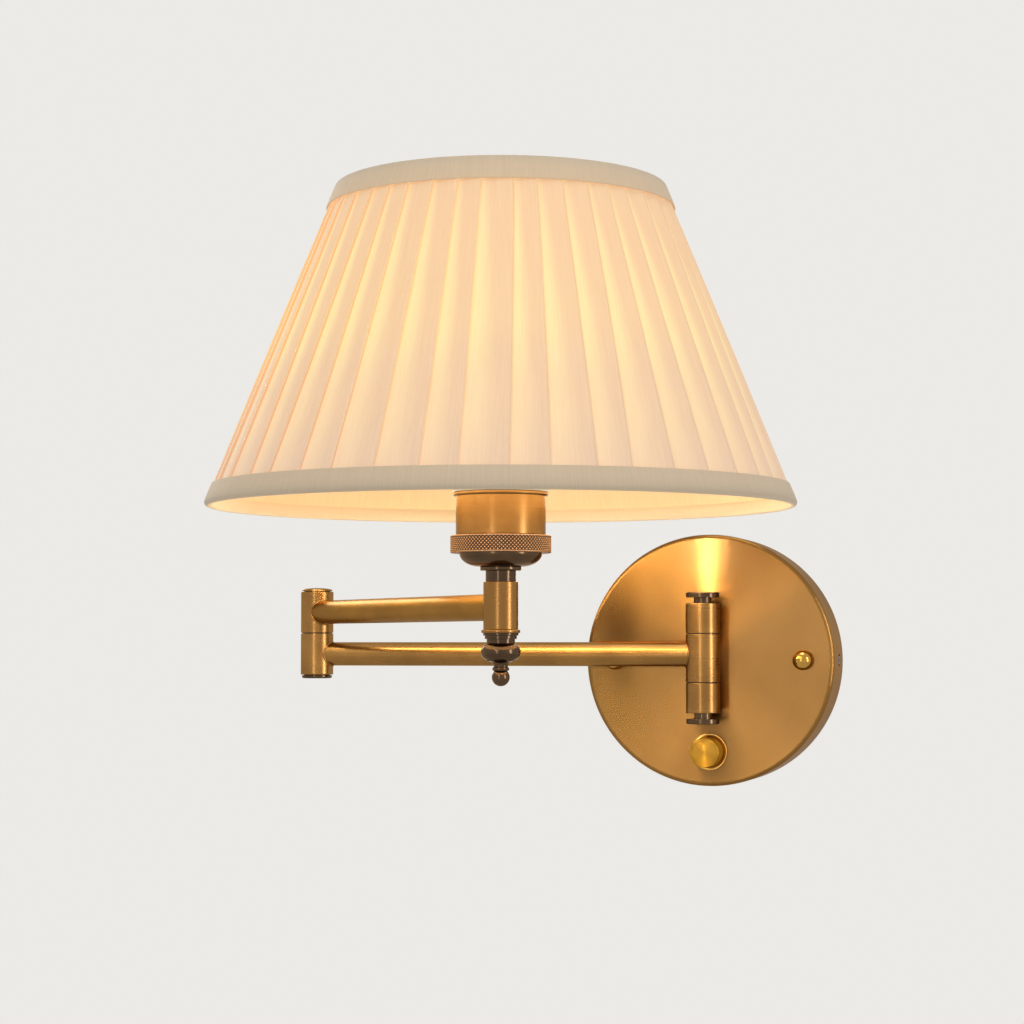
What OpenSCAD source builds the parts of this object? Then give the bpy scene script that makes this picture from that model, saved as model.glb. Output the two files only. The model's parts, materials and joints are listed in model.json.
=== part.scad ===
// Swing arm wall lamp: a pleated shade on two hinged arms, with a dimmer on the wall plate.
// The wall is the plane y = 0, the room lies towards -Y and +Z is up.
// The origin is the centre of the wall plate's rear rim, midway between the wall screws.

/* [Wall plate] */
// Diameter of the round wall plate
plate_d = 120; // [114:1:140]
// Depth of the wall plate, from the wall to its front face
plate_depth = 28; // [26:1:36]
// Thickness of the plate's metal
plate_wall = 1.2; // [0.8:0.1:1.6]
// Radius of the plate's rounded front edge
plate_edge_r = 2; // [1.8:0.2:4]
// Distance of each ball nut, and of the stud behind it, from the plate's outer edge
stud_inset = 14.5; // [14:0.5:17]
// Diameter of a stud's thread
stud_d = 4; // [3:0.5:5]
// Diameter of a ball nut
ball_nut_d = 9.4; // [8:0.2:10]
// Distance of the side set screw from the wall
side_screw_reach = 11.5; // [9:0.5:14]

/* [Mounting strap] */
// Height of the flat strap that is screwed to the wall
strap_w = 22; // [18:1:24]
// Thickness of the strap's metal
strap_t = 2; // [1.5:0.25:2.5]
// Distance between the centres of the two slots for the wall screws
slot_spacing = 50; // [46:1:54]
// Length of a wall screw's slot from end to end
slot_len = 10; // [8:0.5:12]
// Width of a wall screw's slot
slot_w = 5; // [4:0.5:6]

/* [Wall pivot] */
// Distance of the wall pivot's axis from the plate's front face
pivot_reach = 14; // [13:0.5:20]
// Height of the pivot's middle above the plate's centre
pivot_z = 1; // [0:0.5:2]
// Outer diameter of the pivot's three knuckles
pivot_d = 16; // [15:0.5:20]
// Length of the middle knuckle, which turns with the lower arm
pivot_middle_len = 23; // [20:1:26]
// Length of each outer knuckle, which the plate carries
pivot_end_len = 14.4; // [12:0.4:17]
// Diameter of the hollow axle
axle_d = 8.4; // [7.6:0.2:9]
// Length of axle that shows between a knuckle and its head
neck_len = 2.7; // [1.5:0.3:4]
// Thickness of the flat head at each end of the axle
head_t = 2.4; // [1.8:0.2:3]

/* [Arms] */
// Length of each arm, from axis to axis
arm_len = 194; // [160:2:240]
// Outer diameter of the arm tubes
tube_d = 11.5; // [10:0.5:12]
// Thickness of the tubes' wall
tube_wall = 1; // [0.8:0.1:1.4]
// Height of the lower arm's centre line above the plate's centre
lower_tube_z = 2.8; // [2:0.2:3.6]
// Outer diameter of the elbow's knuckles
knuckle_d = 16; // [15:0.5:20]
// Height of one elbow knuckle, which is also the step from arm to arm
knuckle_h = 20.4; // [18:0.4:26]
// Thickness of an elbow knuckle's wall
knuckle_wall = 1.6; // [1.2:0.1:2]
// Angle between the two arms as the lamp stands
fold_angle = 45.7; // [30:0.1:120]

/* [Lamp post] */
// Diameter of the knuckle at the end of the upper arm
post_d = 14.8; // [14:0.2:18]
// Height of the post knuckle below the upper arm's centre line
post_below = 9.5; // [8:0.5:11]
// Height of the post knuckle above the upper arm's centre line
post_above = 10.7; // [9:0.1:13]
// Diameter of the hollow threaded rod through the post
nipple_d = 8; // [7:0.5:8.4]
// Length of the neck between the post knuckle and the bowl
post_neck_len = 4.7; // [3:0.1:7]
// Height of the bowl under the knurled collar
bowl_h = 5.7; // [4.5:0.1:8]
// Height of the knurled collar
collar_h = 7.5; // [5.5:0.5:10]
// Outer diameter of the knurled collar
collar_d = 42.9; // [41.5:0.1:46]
// Diameter of the socket cup
cup_d = 38.2; // [37.4:0.2:39.6]
// Height of the socket cup
cup_h = 18.4; // [15:0.2:22]

/* [Shade] */
// Outer diameter of the shade at its bottom edge
shade_bottom_d = 250; // [220:2:280]
// Outer diameter of the shade at its top edge
shade_top_d = 142; // [120:2:180]
// Height of the shade
shade_h = 137.2; // [125:0.2:170]
// Height of the socket cup's rim above the shade's bottom edge
shade_overlap = 6.7; // [5:0.1:8]
// Number of pleats round the shade
pleats = 44; // [24:1:60]
// Depth of a pleat, from its fold to the next pleat
pleat_depth = 0.9; // [0.5:0.1:1]
// Height of the plain band round the shade's bottom edge
bottom_band_h = 8.7; // [6:0.1:12]
// Height of the plain band round the shade's top edge
top_band_h = 10.4; // [6:0.1:12]
// Diameter of the wire in the two rings
ring_wire = 1.9; // [1.6:0.1:2.2]
// Direction of the first of the shade's three carrying arms
fitter_turn = 106; // [0:1:119]

/* [Bulb and lampholder] */
// Diameter of the bulb's glass
bulb_d = 60; // [45:1:65]
// Length of the bulb from its contact to the top of the glass
bulb_len = 105; // [95:1:115]
// Diameter of the bulb's screw cap
cap_d = 26.4; // [26:0.1:26.6]

/* [Dimmer] */
// Distance of the dimmer's axis from the plate's lower edge
dimmer_inset = 16.4; // [15:0.1:18.5]
// Diameter of the dimmer's knob
knob_d = 14; // [12:0.5:18]
// Length of the dimmer's knob
knob_len = 10.8; // [9.5:0.1:14]
// Diameter of the dimmer's spindle
spindle_d = 6; // [5:0.5:6]

/* [Fits] */
// Gap all round between a turning piece and the piece that carries it
running_gap = 0.05; // [0.02:0.01:0.1]
// Gap round pieces that are screwed, pressed or brazed into each other
fixed_gap = 0.02; // [0.01:0.01:0.05]
// Thickness of the thin washer between two knuckles
washer_t = 0.4; // [0.2:0.1:0.6]

/* [Hidden] */
$fn = 96;

eps = 0.01;
satin_brass = "#a9814a";
bronze = "#6b5436";
knurl_brown = "#8a6244";
bright_brass = "#cda24a";
dark_brown = "#4a3a28";
zinc = "#b8bcc0";
ivory = "#efe2c8";
black = "#222222";

// Mounting: the strap ends short of the plate's side wall, and one end turns forward as a lug.
strap_end_gap = 2.8;
strap_half = plate_d / 2 - plate_wall - strap_end_gap;
stud_x = plate_d / 2 - stud_inset;
stud_r = stud_d / 2;
stud_into_nut = 5.5;
stud_play = 0.2;
lug_w = 14;
lug_margin = 5;
lug_len = side_screw_reach + lug_margin;
side_screw_r = 2;
side_screw_gap = 0.5;
side_screw_len = stud_inset - stud_r - side_screw_gap;
side_hole_r = 3;
side_key_r = 1.15;
side_key_depth = 2;
lock_nut_r = 4;
lock_nut_h = 3.2;
ball_centre = 0.32 * ball_nut_d;
nut_collar_r = 4.2;
nut_collar_h = 0.8;
tab_half = 9;
tab_top = 30;
block_size = [26, 12, 15];
block_bottom = 14;
block_pitch = 8;
block_hole_r = 1.8;
block_screw_r = 1.6;
block_screw_depth = 5;
block_screw_len = 3;
earth_x = (slot_spacing - slot_len) / 4;
earth_screw_r = 1.95;
earth_head_r = 3.2;
earth_head_h = 2.4;
slot_depth = 1;
screw_slot_w = 0.8;

// Wall pivot
pivot_y = -plate_depth - pivot_reach;
pivot_r = pivot_d / 2;
axle_r = axle_d / 2;
axle_wall = 1.4;
axle_bore_r = axle_r - axle_wall;
joint_gap = washer_t + 2 * running_gap;
middle_bottom = pivot_z - pivot_middle_len / 2;
middle_top = pivot_z + pivot_middle_len / 2;
axle_bottom = middle_bottom - pivot_end_len - neck_len;
axle_top = middle_top + pivot_end_len + neck_len;
head_step = 0.15;
head_r = pivot_r - head_step;
head_plug_len = 5;
washer_step = 0.4;
window_h = 6;
knuckle_bevel = 0.5;
stem_r = 5;
stem_thread_r = 4;
stem_bore_r = 2.3;
stem_through = 8.5;
bracket_nut_r = 7.5;
bracket_nut_h = 5;
bracket_centre = (joint_gap / 2 + pivot_end_len) / 2;
bracket_heights = [middle_top + bracket_centre, middle_bottom - bracket_centre];

// Arms
tube_r = tube_d / 2;
tube_bore_r = tube_r - tube_wall;
knuckle_r = knuckle_d / 2;
cavity_r = knuckle_r - knuckle_wall;
upper_tube_z = lower_tube_z + knuckle_h;
elbow_z = lower_tube_z + knuckle_h / 2;
elbow_bottom = lower_tube_z - knuckle_h / 2;
elbow_top = upper_tube_z + knuckle_h / 2;
socket_share = 0.62;
socket_x = socket_share * pivot_r;
web_clear = 0.7;
web_t = knuckle_h / 2 - tube_r - web_clear;
elbow_nipple_gap = 1.4;
elbow_nipple_wall = 1.4;
elbow_nipple_r = cavity_r - elbow_nipple_gap;
elbow_nipple_bore_r = elbow_nipple_r - elbow_nipple_wall;
elbow_nut_gap = 0.5;
elbow_nut_r = cavity_r - elbow_nut_gap;
elbow_nut_h = 3;
nipple_out = 0.8;
elbow_edge = 0.3;
cap_step = 0.6;
cap_r = knuckle_r - cap_step;
cap_plug_h = 2.4;
cap_groove = 0.3;
bottom_cap_h = 1.8;
top_cap_h = 1.9;
flex_r = 2.2;
flex_end = 9;

// Lamp post: each height is a seat on the piece below it.
post_r = post_d / 2;
post_bottom = upper_tube_z - post_below;
post_top = upper_tube_z + post_above;
nipple_r = nipple_d / 2;
nipple_wall = 1.2;
nipple_bore_r = nipple_r - nipple_wall;
post_socket_x = socket_share * post_r;
flange_h = 1.4;
flange_out = 0.85;
flange_r = post_r + flange_out;
stepped_h = 4.4;
knob_nut_h = 7.3;
knob_nut_r = 8.5;
finial_h = 10.8;
finial_ball_r = 3.8;
finial_thread_r = 1.5;
flange_top = post_bottom - running_gap;
stepped_top = flange_top - flange_h;
knob_nut_top = stepped_top - stepped_h;
knob_nut_bottom = knob_nut_top - knob_nut_h;
neck_in = 0.95;
neck_r = post_r - neck_in;
neck_bottom = post_top + running_gap;
washer_bottom = neck_bottom + post_neck_len;
post_washer_h = 1.7;
post_washer_r = 8.75;
bowl_bottom = washer_bottom + post_washer_h;
bowl_top = bowl_bottom + bowl_h;
bowl_wall = 1.2;
skirt_in = 1.5;
skirt_gap = 0.1;
skirt_r = cup_d / 2 - skirt_in;
skirt_h = collar_h / 2 - skirt_gap;
collar_top = bowl_top + collar_h;
cup_r = cup_d / 2;
cup_wall = 1;
cup_top = collar_top + cup_h;
lip_out = 1.1;
lip_r = cup_r + lip_out;
lip_h = 1.6;
nipple_nut_r = 6.5;
nipple_nut_h = 3.5;
nipple_end = 1;
nipple_top = bowl_bottom + bowl_wall + nipple_nut_h + nipple_end;
nipple_rise = 2.2;
nipple_low = knob_nut_bottom + nipple_rise;

// Lampholder and bulb, stacked on the cup's rim
holder_gap = 0.3;
nipple_clear = 1;
holder_bottom = nipple_top + nipple_clear;
holder_flange_h = 2.5;
holder_flange_out = 0.3;
holder_flange_top = cup_top + holder_flange_h;
holder_sleeve_r = 19.2;
holder_rise = 18;
holder_top = cup_top + holder_rise;
holder_depth = 11;
holder_floor = cup_top - holder_depth;
holder_floor_t = 2;
cord_play = 0.3;
shell_wall = 0.5;
shell_play = 0.15;
shell_r = cap_d / 2 + shell_play + shell_wall;
shell_low = 3.5;
shell_high = 4;
contact_r = 3.5;
contact_h = 1;
contact_gap = 0.05;
cap_bottom = holder_floor + contact_h + contact_gap;
cap_tip_r = 4.8;
cap_tip_h = 1;
cap_cone_h = 3;
cap_len = 26;
cap_wall = 0.5;
cap_top = cap_bottom + cap_len;
bulb_r = bulb_d / 2;
bulb_top = cap_bottom + bulb_len;
bulb_centre = bulb_top - bulb_r;
glass_wall = 0.8;
glass_step = 0.6;
glass_neck_r = cap_d / 2 - glass_step;
glass_in_cap = 4;
glass_bottom = cap_top - glass_in_cap;
glass_neck_h = 2;
glass_neck_top = cap_top + glass_neck_h;
stem_glass_r = 4;
stem_in_cap = 12;
stem_bottom = cap_top - stem_in_cap;
stem_rise = 20;
stem_top = cap_top + stem_rise;
stem_disc_out = 1.5;
stem_disc_h = 1.5;
filament_r = 0.7;
filament_over = 6;
filament_len = bulb_centre - stem_top + filament_over;
filament_lean = 12;

// Shade: its wall is measured along the slope (v) and outwards from the line through the two
// ring wires (u), which starts at the centre of the bottom ring.
band_t = 0.5;
ring_gap = 0.2;
roll_r = ring_wire / 2 + ring_gap + band_t;
shade_bottom = cup_top - shade_overlap;
shade_top = shade_bottom + shade_h;
bottom_ring_at = [shade_bottom_d / 2 - roll_r, shade_bottom + roll_r];
top_ring_at = [shade_top_d / 2 - roll_r, shade_top - roll_r];
slope = atan((bottom_ring_at[0] - top_ring_at[0]) / (top_ring_at[1] - bottom_ring_at[1]));
slant = norm(top_ring_at - bottom_ring_at);
wall_gap = 0.05;
fabric_out = roll_r - band_t - wall_gap;
lining_t = 0.45;
lining_in = -roll_r + band_t + wall_gap;
fabric_in = lining_in + lining_t + wall_gap;
wall_start = ring_wire / 2 + ring_gap;
inner_leg = 5;
arm_wire_r = 1.1;
arm_gap = 0.25;
fitter_t = 1.6;
fitter_play = 0.5;
fitter_bore_r = holder_sleeve_r + fitter_play;
fitter_r = 26;
fitter_bottom = holder_flange_top + wall_gap;
fitter_mid = fitter_bottom + fitter_t / 2;
clamp_r = 23.5;
clamp_h = 6.5;
arm_count = 3;
arm_dir = bottom_ring_at - [fitter_r, fitter_mid];
arm_tilt = atan2(arm_dir[0], arm_dir[1]);
arm_length = norm(arm_dir) - ring_wire / 2 - 2 * arm_gap;

// Dimmer
dimmer_z = dimmer_inset - plate_d / 2;
dimmer_case = [24, 13, 18];
bush_wall = 0.5;
bush_r = spindle_d / 2 + bush_wall;
bush_out = 2.5;
bush_clear = 0.4;
dimmer_nut_r = 8.8;
dimmer_nut_t = 1;
knob_r = knob_d / 2;
knob_gap = 0.2;
knob_rear = dimmer_nut_t + knob_gap;
knob_edge = 0.5;
spindle_r = spindle_d / 2;
spindle_in = 5;
spindle_end = 2.5;
spindle_flat = 0.6;

function wall_at(v, u) = bottom_ring_at
    + v * [-sin(slope), cos(slope)]
    + u * [cos(slope), sin(slope)];

module tube(r, bore, z0, z1) {
    translate([0, 0, z0]) difference() {
        cylinder(r = r, h = z1 - z0);
        translate([0, 0, -1]) cylinder(r = bore, h = z1 - z0 + 2);
    }
}

module rod(r, z0, z1) {
    translate([0, 0, z0]) cylinder(r = r, h = z1 - z0);
}

module bevelled_rod(r, z0, z1, low, high) {
    rotate_extrude() polygon([
        [0, z0], [r - low, z0], [r, z0 + low], [r, z1 - high], [r - high, z1], [0, z1]
    ]);
}

// Stands its children on the plane y = -depth, with their +Z towards the room.
module out_from_wall(depth, x = 0, z = 0) {
    translate([x, -depth, z]) rotate([90, 0, 0]) children();
}

module along_x(x, y, z) {
    translate([x, y, z]) rotate([0, 90, 0]) children();
}

module at_pivot() {
    translate([0, pivot_y, 0]) children();
}

// The lower arm runs from the wall pivot to the elbow, towards -X.
module at_elbow() {
    translate([-arm_len, pivot_y, 0]) children();
}

// The upper arm runs from the elbow along its own +X.
module on_upper_arm() {
    at_elbow() rotate([0, 0, -fold_angle]) children();
}

module at_post() {
    on_upper_arm() translate([arm_len, 0, 0]) children();
}

module round_block(r, h, edge) {
    square([r - edge, h]);
    square([r, h - edge]);
    translate([r - edge, h - edge]) circle(r = edge, $fn = 48);
}

// Mounting strap: screwed to the wall through its slots. The studs, the earth screw and the side
// set screw are tapped into it, and the terminal block stands on its upper tab.
module mounting_strap() {
    color(zinc) difference() {
        union() {
            translate([-strap_half, -strap_t, -strap_w / 2]) cube([2 * strap_half, strap_t, strap_w]);
            translate([-tab_half, -strap_t, 0]) cube([2 * tab_half, strap_t, tab_top]);
            translate([strap_half - strap_t, -strap_t - lug_len, -lug_w / 2])
                cube([strap_t, lug_len + eps, lug_w]);
        }
        for (side = [-1, 1]) {
            out_from_wall(-1, side * stud_x) cylinder(r = stud_r + fixed_gap, h = strap_t + 2);
            for (end = [-1, 1])
                out_from_wall(-1, side * slot_spacing / 2 + end * (slot_len - slot_w) / 2)
                    cylinder(d = slot_w, h = strap_t + 2);
            translate([side * slot_spacing / 2 - (slot_len - slot_w) / 2, -strap_t - 1, -slot_w / 2])
                cube([slot_len - slot_w, strap_t + 2, slot_w]);
        }
        out_from_wall(-1, -earth_x) cylinder(r = earth_screw_r + fixed_gap, h = strap_t + 2);
        along_x(strap_half - strap_t - 1, -side_screw_reach, 0)
            cylinder(r = side_screw_r + fixed_gap, h = strap_t + 2);
    }
}

module mounting_studs() {
    color(zinc) for (side = [-1, 1])
        out_from_wall(0, side * stud_x) cylinder(r = stud_r, h = plate_depth + stud_into_nut);
}

module stud_lock_nuts() {
    color(zinc) for (side = [-1, 1])
        out_from_wall(strap_t, side * stud_x) difference() {
            cylinder(r = lock_nut_r, h = lock_nut_h, $fn = 6);
            translate([0, 0, -1]) cylinder(r = stud_r + fixed_gap, h = lock_nut_h + 2);
        }
}

module earth_screw() {
    color(bright_brass) out_from_wall(0, -earth_x) {
        cylinder(r = earth_screw_r, h = strap_t + eps);
        translate([0, 0, strap_t]) difference() {
            cylinder(r = earth_head_r, h = earth_head_h);
            translate([-earth_head_r, -screw_slot_w / 2, earth_head_h - slot_depth])
                cube([2 * earth_head_r, screw_slot_w, 2 * slot_depth]);
        }
    }
}

module block_wells(r, depth) {
    for (i = [-1, 0, 1])
        out_from_wall(strap_t + block_size[1] - depth, i * block_pitch, block_bottom + block_size[2] / 2)
            cylinder(r = r, h = depth + 1);
}

module terminal_block() {
    color("white") difference() {
        translate([-block_size[0] / 2, -strap_t - block_size[1], block_bottom]) cube(block_size);
        for (i = [-1, 0, 1])
            translate([i * block_pitch, -strap_t - block_size[1] / 3, block_bottom - 1])
                cylinder(r = block_hole_r, h = block_size[2] + 2);
        block_wells(block_screw_r + fixed_gap, block_screw_depth);
    }
}

module terminal_screws() {
    seat = strap_t + block_size[1] - block_screw_depth;
    color(zinc) for (i = [-1, 0, 1])
        out_from_wall(seat, i * block_pitch, block_bottom + block_size[2] / 2) difference() {
            cylinder(r = block_screw_r, h = block_screw_len);
            translate([-block_screw_r, -screw_slot_w / 2, block_screw_len - slot_depth])
                cube([2 * block_screw_r, screw_slot_w, 2 * slot_depth]);
        }
}

// A hole through the plate's face
module face_hole(r, x, z) {
    out_from_wall(0, x, z) cylinder(r = r, h = plate_depth + 1);
}

// Wall plate: a round dish, open to the wall.
module back_plate() {
    color(satin_brass) difference() {
        out_from_wall(0) rotate_extrude($fn = 180) difference() {
            round_block(plate_d / 2, plate_depth, plate_edge_r);
            translate([0, -1]) round_block(plate_d / 2 - plate_wall, plate_depth - plate_wall + 1,
                plate_edge_r - plate_wall);
        }
        for (side = [-1, 1]) face_hole(stud_r + stud_play, side * stud_x, 0);
        for (z = bracket_heights) face_hole(stem_thread_r + fixed_gap, 0, z);
        face_hole(bush_r + fixed_gap, 0, dimmer_z);
        along_x(0, -side_screw_reach, 0) cylinder(r = side_hole_r, h = plate_d / 2 + 1);
    }
}

module ball_nuts() {
    color(bright_brass) for (side = [-1, 1])
        out_from_wall(plate_depth, side * stud_x) difference() {
            union() {
                cylinder(r = nut_collar_r, h = nut_collar_h);
                intersection() {
                    translate([0, 0, ball_centre]) sphere(d = ball_nut_d);
                    cylinder(r = ball_nut_d, h = ball_nut_d);
                }
            }
            translate([0, 0, -1]) cylinder(r = stud_r + fixed_gap, h = stud_into_nut + 1 + 2 * fixed_gap);
        }
}

// Side set screw: screwed outwards from the strap's lug into the plate's side hole.
module side_set_screw() {
    color(zinc) along_x(plate_d / 2 - side_screw_len, -side_screw_reach, 0) difference() {
        cylinder(r = side_screw_r, h = side_screw_len);
        translate([0, 0, side_screw_len - side_key_depth])
            cylinder(r = side_key_r, h = side_key_depth + 1, $fn = 6);
    }
}

// An outer knuckle of the wall pivot with its stem, which is threaded where it passes the plate.
// It is drawn as the upper one: its near face is at z = 0 and it rises from there.
module pivot_bracket() {
    bottom = joint_gap / 2;
    difference() {
        union() {
            bevelled_rod(pivot_r, bottom, pivot_end_len, 0, knuckle_bevel);
            translate([0, pivot_reach, bracket_centre]) rotate([90, 0, 0])
                cylinder(r = stem_r, h = pivot_reach);
            translate([0, pivot_reach + stem_through, bracket_centre]) rotate([90, 0, 0])
                cylinder(r = stem_thread_r, h = stem_through + 1);
        }
        rod(axle_r + fixed_gap, -1, pivot_end_len + 1);
        translate([0, pivot_reach + stem_through + 1, bracket_centre]) rotate([90, 0, 0])
            cylinder(r = stem_bore_r, h = pivot_reach + stem_through + 1);
    }
}

module pivot_upper_bracket() {
    color(satin_brass) at_pivot() translate([0, 0, middle_top]) pivot_bracket();
}

module pivot_lower_bracket() {
    color(satin_brass) at_pivot() translate([0, 0, middle_bottom]) mirror([0, 0, 1]) pivot_bracket();
}

module bracket_nuts() {
    color(zinc) for (z = bracket_heights)
        out_from_wall(plate_depth - plate_wall - bracket_nut_h, 0, z) difference() {
            cylinder(r = bracket_nut_r, h = bracket_nut_h, $fn = 6);
            translate([0, 0, -1]) cylinder(r = stem_thread_r + fixed_gap, h = bracket_nut_h + 2);
        }
}

// Hollow axle: one window faces the lower bracket's stem, and one faces the swing of the arm.
module pivot_axle() {
    color(dark_brown) at_pivot() difference() {
        tube(axle_r, axle_bore_r, axle_bottom, axle_top);
        translate([-axle_d, -axle_d, lower_tube_z - window_h / 2]) cube([2 * axle_d, axle_d, window_h]);
        translate([0, axle_d, middle_bottom - bracket_centre]) rotate([90, 0, 0])
            cylinder(r = stem_bore_r, h = axle_d);
    }
}

module axle_head() {
    bevelled_rod(head_r, 0, head_t, 0.2, 0.4);
    rod(axle_bore_r - fixed_gap, -head_plug_len, eps);
}

module pivot_top_head() {
    color(dark_brown) at_pivot() translate([0, 0, axle_top]) axle_head();
}

module pivot_bottom_head() {
    color(dark_brown) at_pivot() translate([0, 0, axle_bottom]) mirror([0, 0, 1]) axle_head();
}

module pivot_washers() {
    color(dark_brown) at_pivot() for (z = [middle_bottom, middle_top])
        tube(pivot_r - washer_step, axle_r + running_gap, z - washer_t / 2, z + washer_t / 2);
}

// Dimmer: the case hangs behind the plate on its threaded bush, which the round nut clamps.
module dimmer_body() {
    color(black) difference() {
        union() {
            translate([-dimmer_case[0] / 2, -plate_depth + plate_wall, dimmer_z - dimmer_case[2] / 2])
                cube(dimmer_case);
            out_from_wall(plate_depth - plate_wall - eps, 0, dimmer_z)
                cylinder(r = bush_r, h = plate_wall + bush_out + eps);
        }
        out_from_wall(plate_depth - plate_wall - spindle_in, 0, dimmer_z)
            cylinder(r = spindle_r + running_gap, h = spindle_in + plate_wall + bush_out + 1);
    }
}

module dimmer_nut() {
    color(bright_brass) out_from_wall(plate_depth, 0, dimmer_z) difference() {
        cylinder(r = dimmer_nut_r, h = dimmer_nut_t);
        translate([0, 0, -1]) cylinder(r = bush_r + fixed_gap, h = dimmer_nut_t + 2);
    }
}

// The spindle's cross-section, with a flat along the length that the knob grips.
module spindle_shape(r, z0, flat_from, z1) {
    difference() {
        rod(r, z0, z1);
        translate([r - spindle_flat, -r, flat_from]) cube([2 * r, 2 * r, z1]);
    }
}

module dimmer_knob() {
    recess = bush_out + bush_clear - knob_rear;
    color(bright_brass) out_from_wall(plate_depth + knob_rear, 0, dimmer_z) difference() {
        bevelled_rod(knob_r, 0, knob_len, knob_edge, knob_edge);
        rod(bush_r + bush_clear, -1, recess);
        spindle_shape(spindle_r + fixed_gap, 0, 0, knob_len - spindle_end + fixed_gap);
    }
}

module dimmer_spindle() {
    start = plate_wall + spindle_in - running_gap;
    color(zinc) out_from_wall(plate_depth, 0, dimmer_z)
        spindle_shape(spindle_r, -start, bush_out + 0.1, knob_rear + knob_len - spindle_end);
}

// A round tube between two knuckles, along +X. Its ends stand in flat sockets.
module arm_tube(z, x0, x1) {
    along_x(x0, 0, z) difference() {
        cylinder(r = tube_r, h = x1 - x0);
        translate([0, 0, -1]) cylinder(r = tube_bore_r, h = x1 - x0 + 2);
    }
}

module arm_flex(z, x0, x1) {
    along_x(x0, 0, z - tube_bore_r + flex_r + wall_gap) cylinder(r = flex_r, h = x1 - x0);
}

// Lower arm, from the wall pivot to the elbow
module pivot_middle_knuckle() {
    color(satin_brass) at_pivot() difference() {
        rod(pivot_r, middle_bottom + joint_gap / 2, middle_top - joint_gap / 2);
        rod(axle_r + running_gap, middle_bottom - 1, middle_top + 1);
        along_x(-socket_x - pivot_r, 0, lower_tube_z) cylinder(r = tube_r + fixed_gap, h = pivot_r);
        along_x(-pivot_r, 0, lower_tube_z) cylinder(r = stem_bore_r, h = pivot_r);
    }
}

module lower_arm_tube() {
    color(satin_brass) at_elbow() difference() {
        arm_tube(lower_tube_z, 0, arm_len - socket_x - fixed_gap);
        rod(cavity_r + fixed_gap, elbow_bottom, elbow_z);
    }
}

module lower_arm_flex() {
    color(black) at_elbow() arm_flex(lower_tube_z, flex_end, arm_len - flex_end);
}

// An elbow knuckle, drawn from its closed web at z = 0 to its open end. The arm's tube enters
// half way up its side, towards +X.
module elbow_knuckle(web_bore_r) {
    difference() {
        bevelled_rod(knuckle_r, joint_gap / 2, knuckle_h, 0, elbow_edge);
        rod(web_bore_r, -1, knuckle_h);
        rod(cavity_r, joint_gap / 2 + web_t, knuckle_h + 1);
        along_x(0, 0, knuckle_h / 2) cylinder(r = tube_r + fixed_gap, h = knuckle_d);
    }
}

module elbow_lower_knuckle() {
    color(satin_brass) at_elbow() translate([0, 0, elbow_z]) mirror([0, 0, 1])
        elbow_knuckle(elbow_nipple_r + fixed_gap);
}

module elbow_bottom_cap() {
    color(satin_brass) at_elbow() translate([0, 0, elbow_bottom]) mirror([0, 0, 1]) {
        rod(cavity_r - fixed_gap, -cap_plug_h, cap_groove);
        bevelled_rod(cap_r, cap_groove, bottom_cap_h, 0, 0.8);
    }
}

// Hollow threaded nipple: both webs hang on it between two round nuts, and the flex passes it.
module elbow_nipple() {
    reach = joint_gap / 2 + web_t + running_gap + elbow_nut_h + nipple_out;
    color(zinc) at_elbow() translate([0, 0, elbow_z])
        tube(elbow_nipple_r, elbow_nipple_bore_r, -reach, reach);
}

module elbow_lock_nuts() {
    seat = joint_gap / 2 + web_t + running_gap;
    color(zinc) at_elbow() translate([0, 0, elbow_z]) {
        tube(elbow_nut_r, elbow_nipple_r + fixed_gap, seat, seat + elbow_nut_h);
        tube(elbow_nut_r, elbow_nipple_r + fixed_gap, -seat - elbow_nut_h, -seat);
    }
}

module elbow_washer() {
    color(dark_brown) at_elbow()
        tube(knuckle_r - washer_step, elbow_nipple_r + running_gap, elbow_z - washer_t / 2,
            elbow_z + washer_t / 2);
}

// Upper arm, from the elbow to the post
module elbow_upper_knuckle() {
    color(satin_brass) on_upper_arm() translate([0, 0, elbow_z]) elbow_knuckle(elbow_nipple_r + running_gap);
}

module elbow_top_cap() {
    edge_h = 0.5;
    dome_h = top_cap_h - cap_groove - edge_h;
    color(satin_brass) on_upper_arm() translate([0, 0, elbow_top]) {
        rod(cavity_r - fixed_gap, -cap_plug_h, cap_groove);
        rotate_extrude() polygon(concat(
            [[0, cap_groove], [cap_r, cap_groove]],
            [for (a = [0 : 15 : 90]) [cap_r * cos(a), cap_groove + edge_h + dome_h * sin(a)]]
        ));
    }
}

module upper_arm_tube() {
    color(satin_brass) on_upper_arm() difference() {
        arm_tube(upper_tube_z, 0, arm_len - post_socket_x - fixed_gap);
        rod(cavity_r + fixed_gap, elbow_z, elbow_top);
    }
}

module upper_arm_flex() {
    color(black) on_upper_arm() arm_flex(upper_tube_z, flex_end, arm_len - flex_end);
}

module post_knuckle() {
    color(satin_brass) at_post() difference() {
        rod(post_r, post_bottom, post_top);
        rod(nipple_r + running_gap, post_bottom - 1, post_top + 1);
        along_x(-post_socket_x - post_r, 0, upper_tube_z) cylinder(r = tube_r + fixed_gap, h = post_r);
        along_x(-post_r, 0, upper_tube_z) cylinder(r = stem_bore_r, h = post_r);
    }
}

// Lamp head: everything that hangs on the hollow rod through the post. The rod's window lets
// the flex in while the head turns a quarter turn each way.
module post_nipple() {
    color(zinc) at_post() difference() {
        tube(nipple_r, nipple_bore_r, nipple_low, nipple_top);
        translate([-2 * nipple_r, -nipple_d, upper_tube_z - window_h / 2])
            cube([2 * nipple_r, 2 * nipple_d, window_h]);
    }
}

module post_flange() {
    color(bronze) at_post() difference() {
        bevelled_rod(flange_r, stepped_top, flange_top, 0.4, 0.4);
        rod(nipple_r + fixed_gap, stepped_top - 1, flange_top + 1);
    }
}

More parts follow.
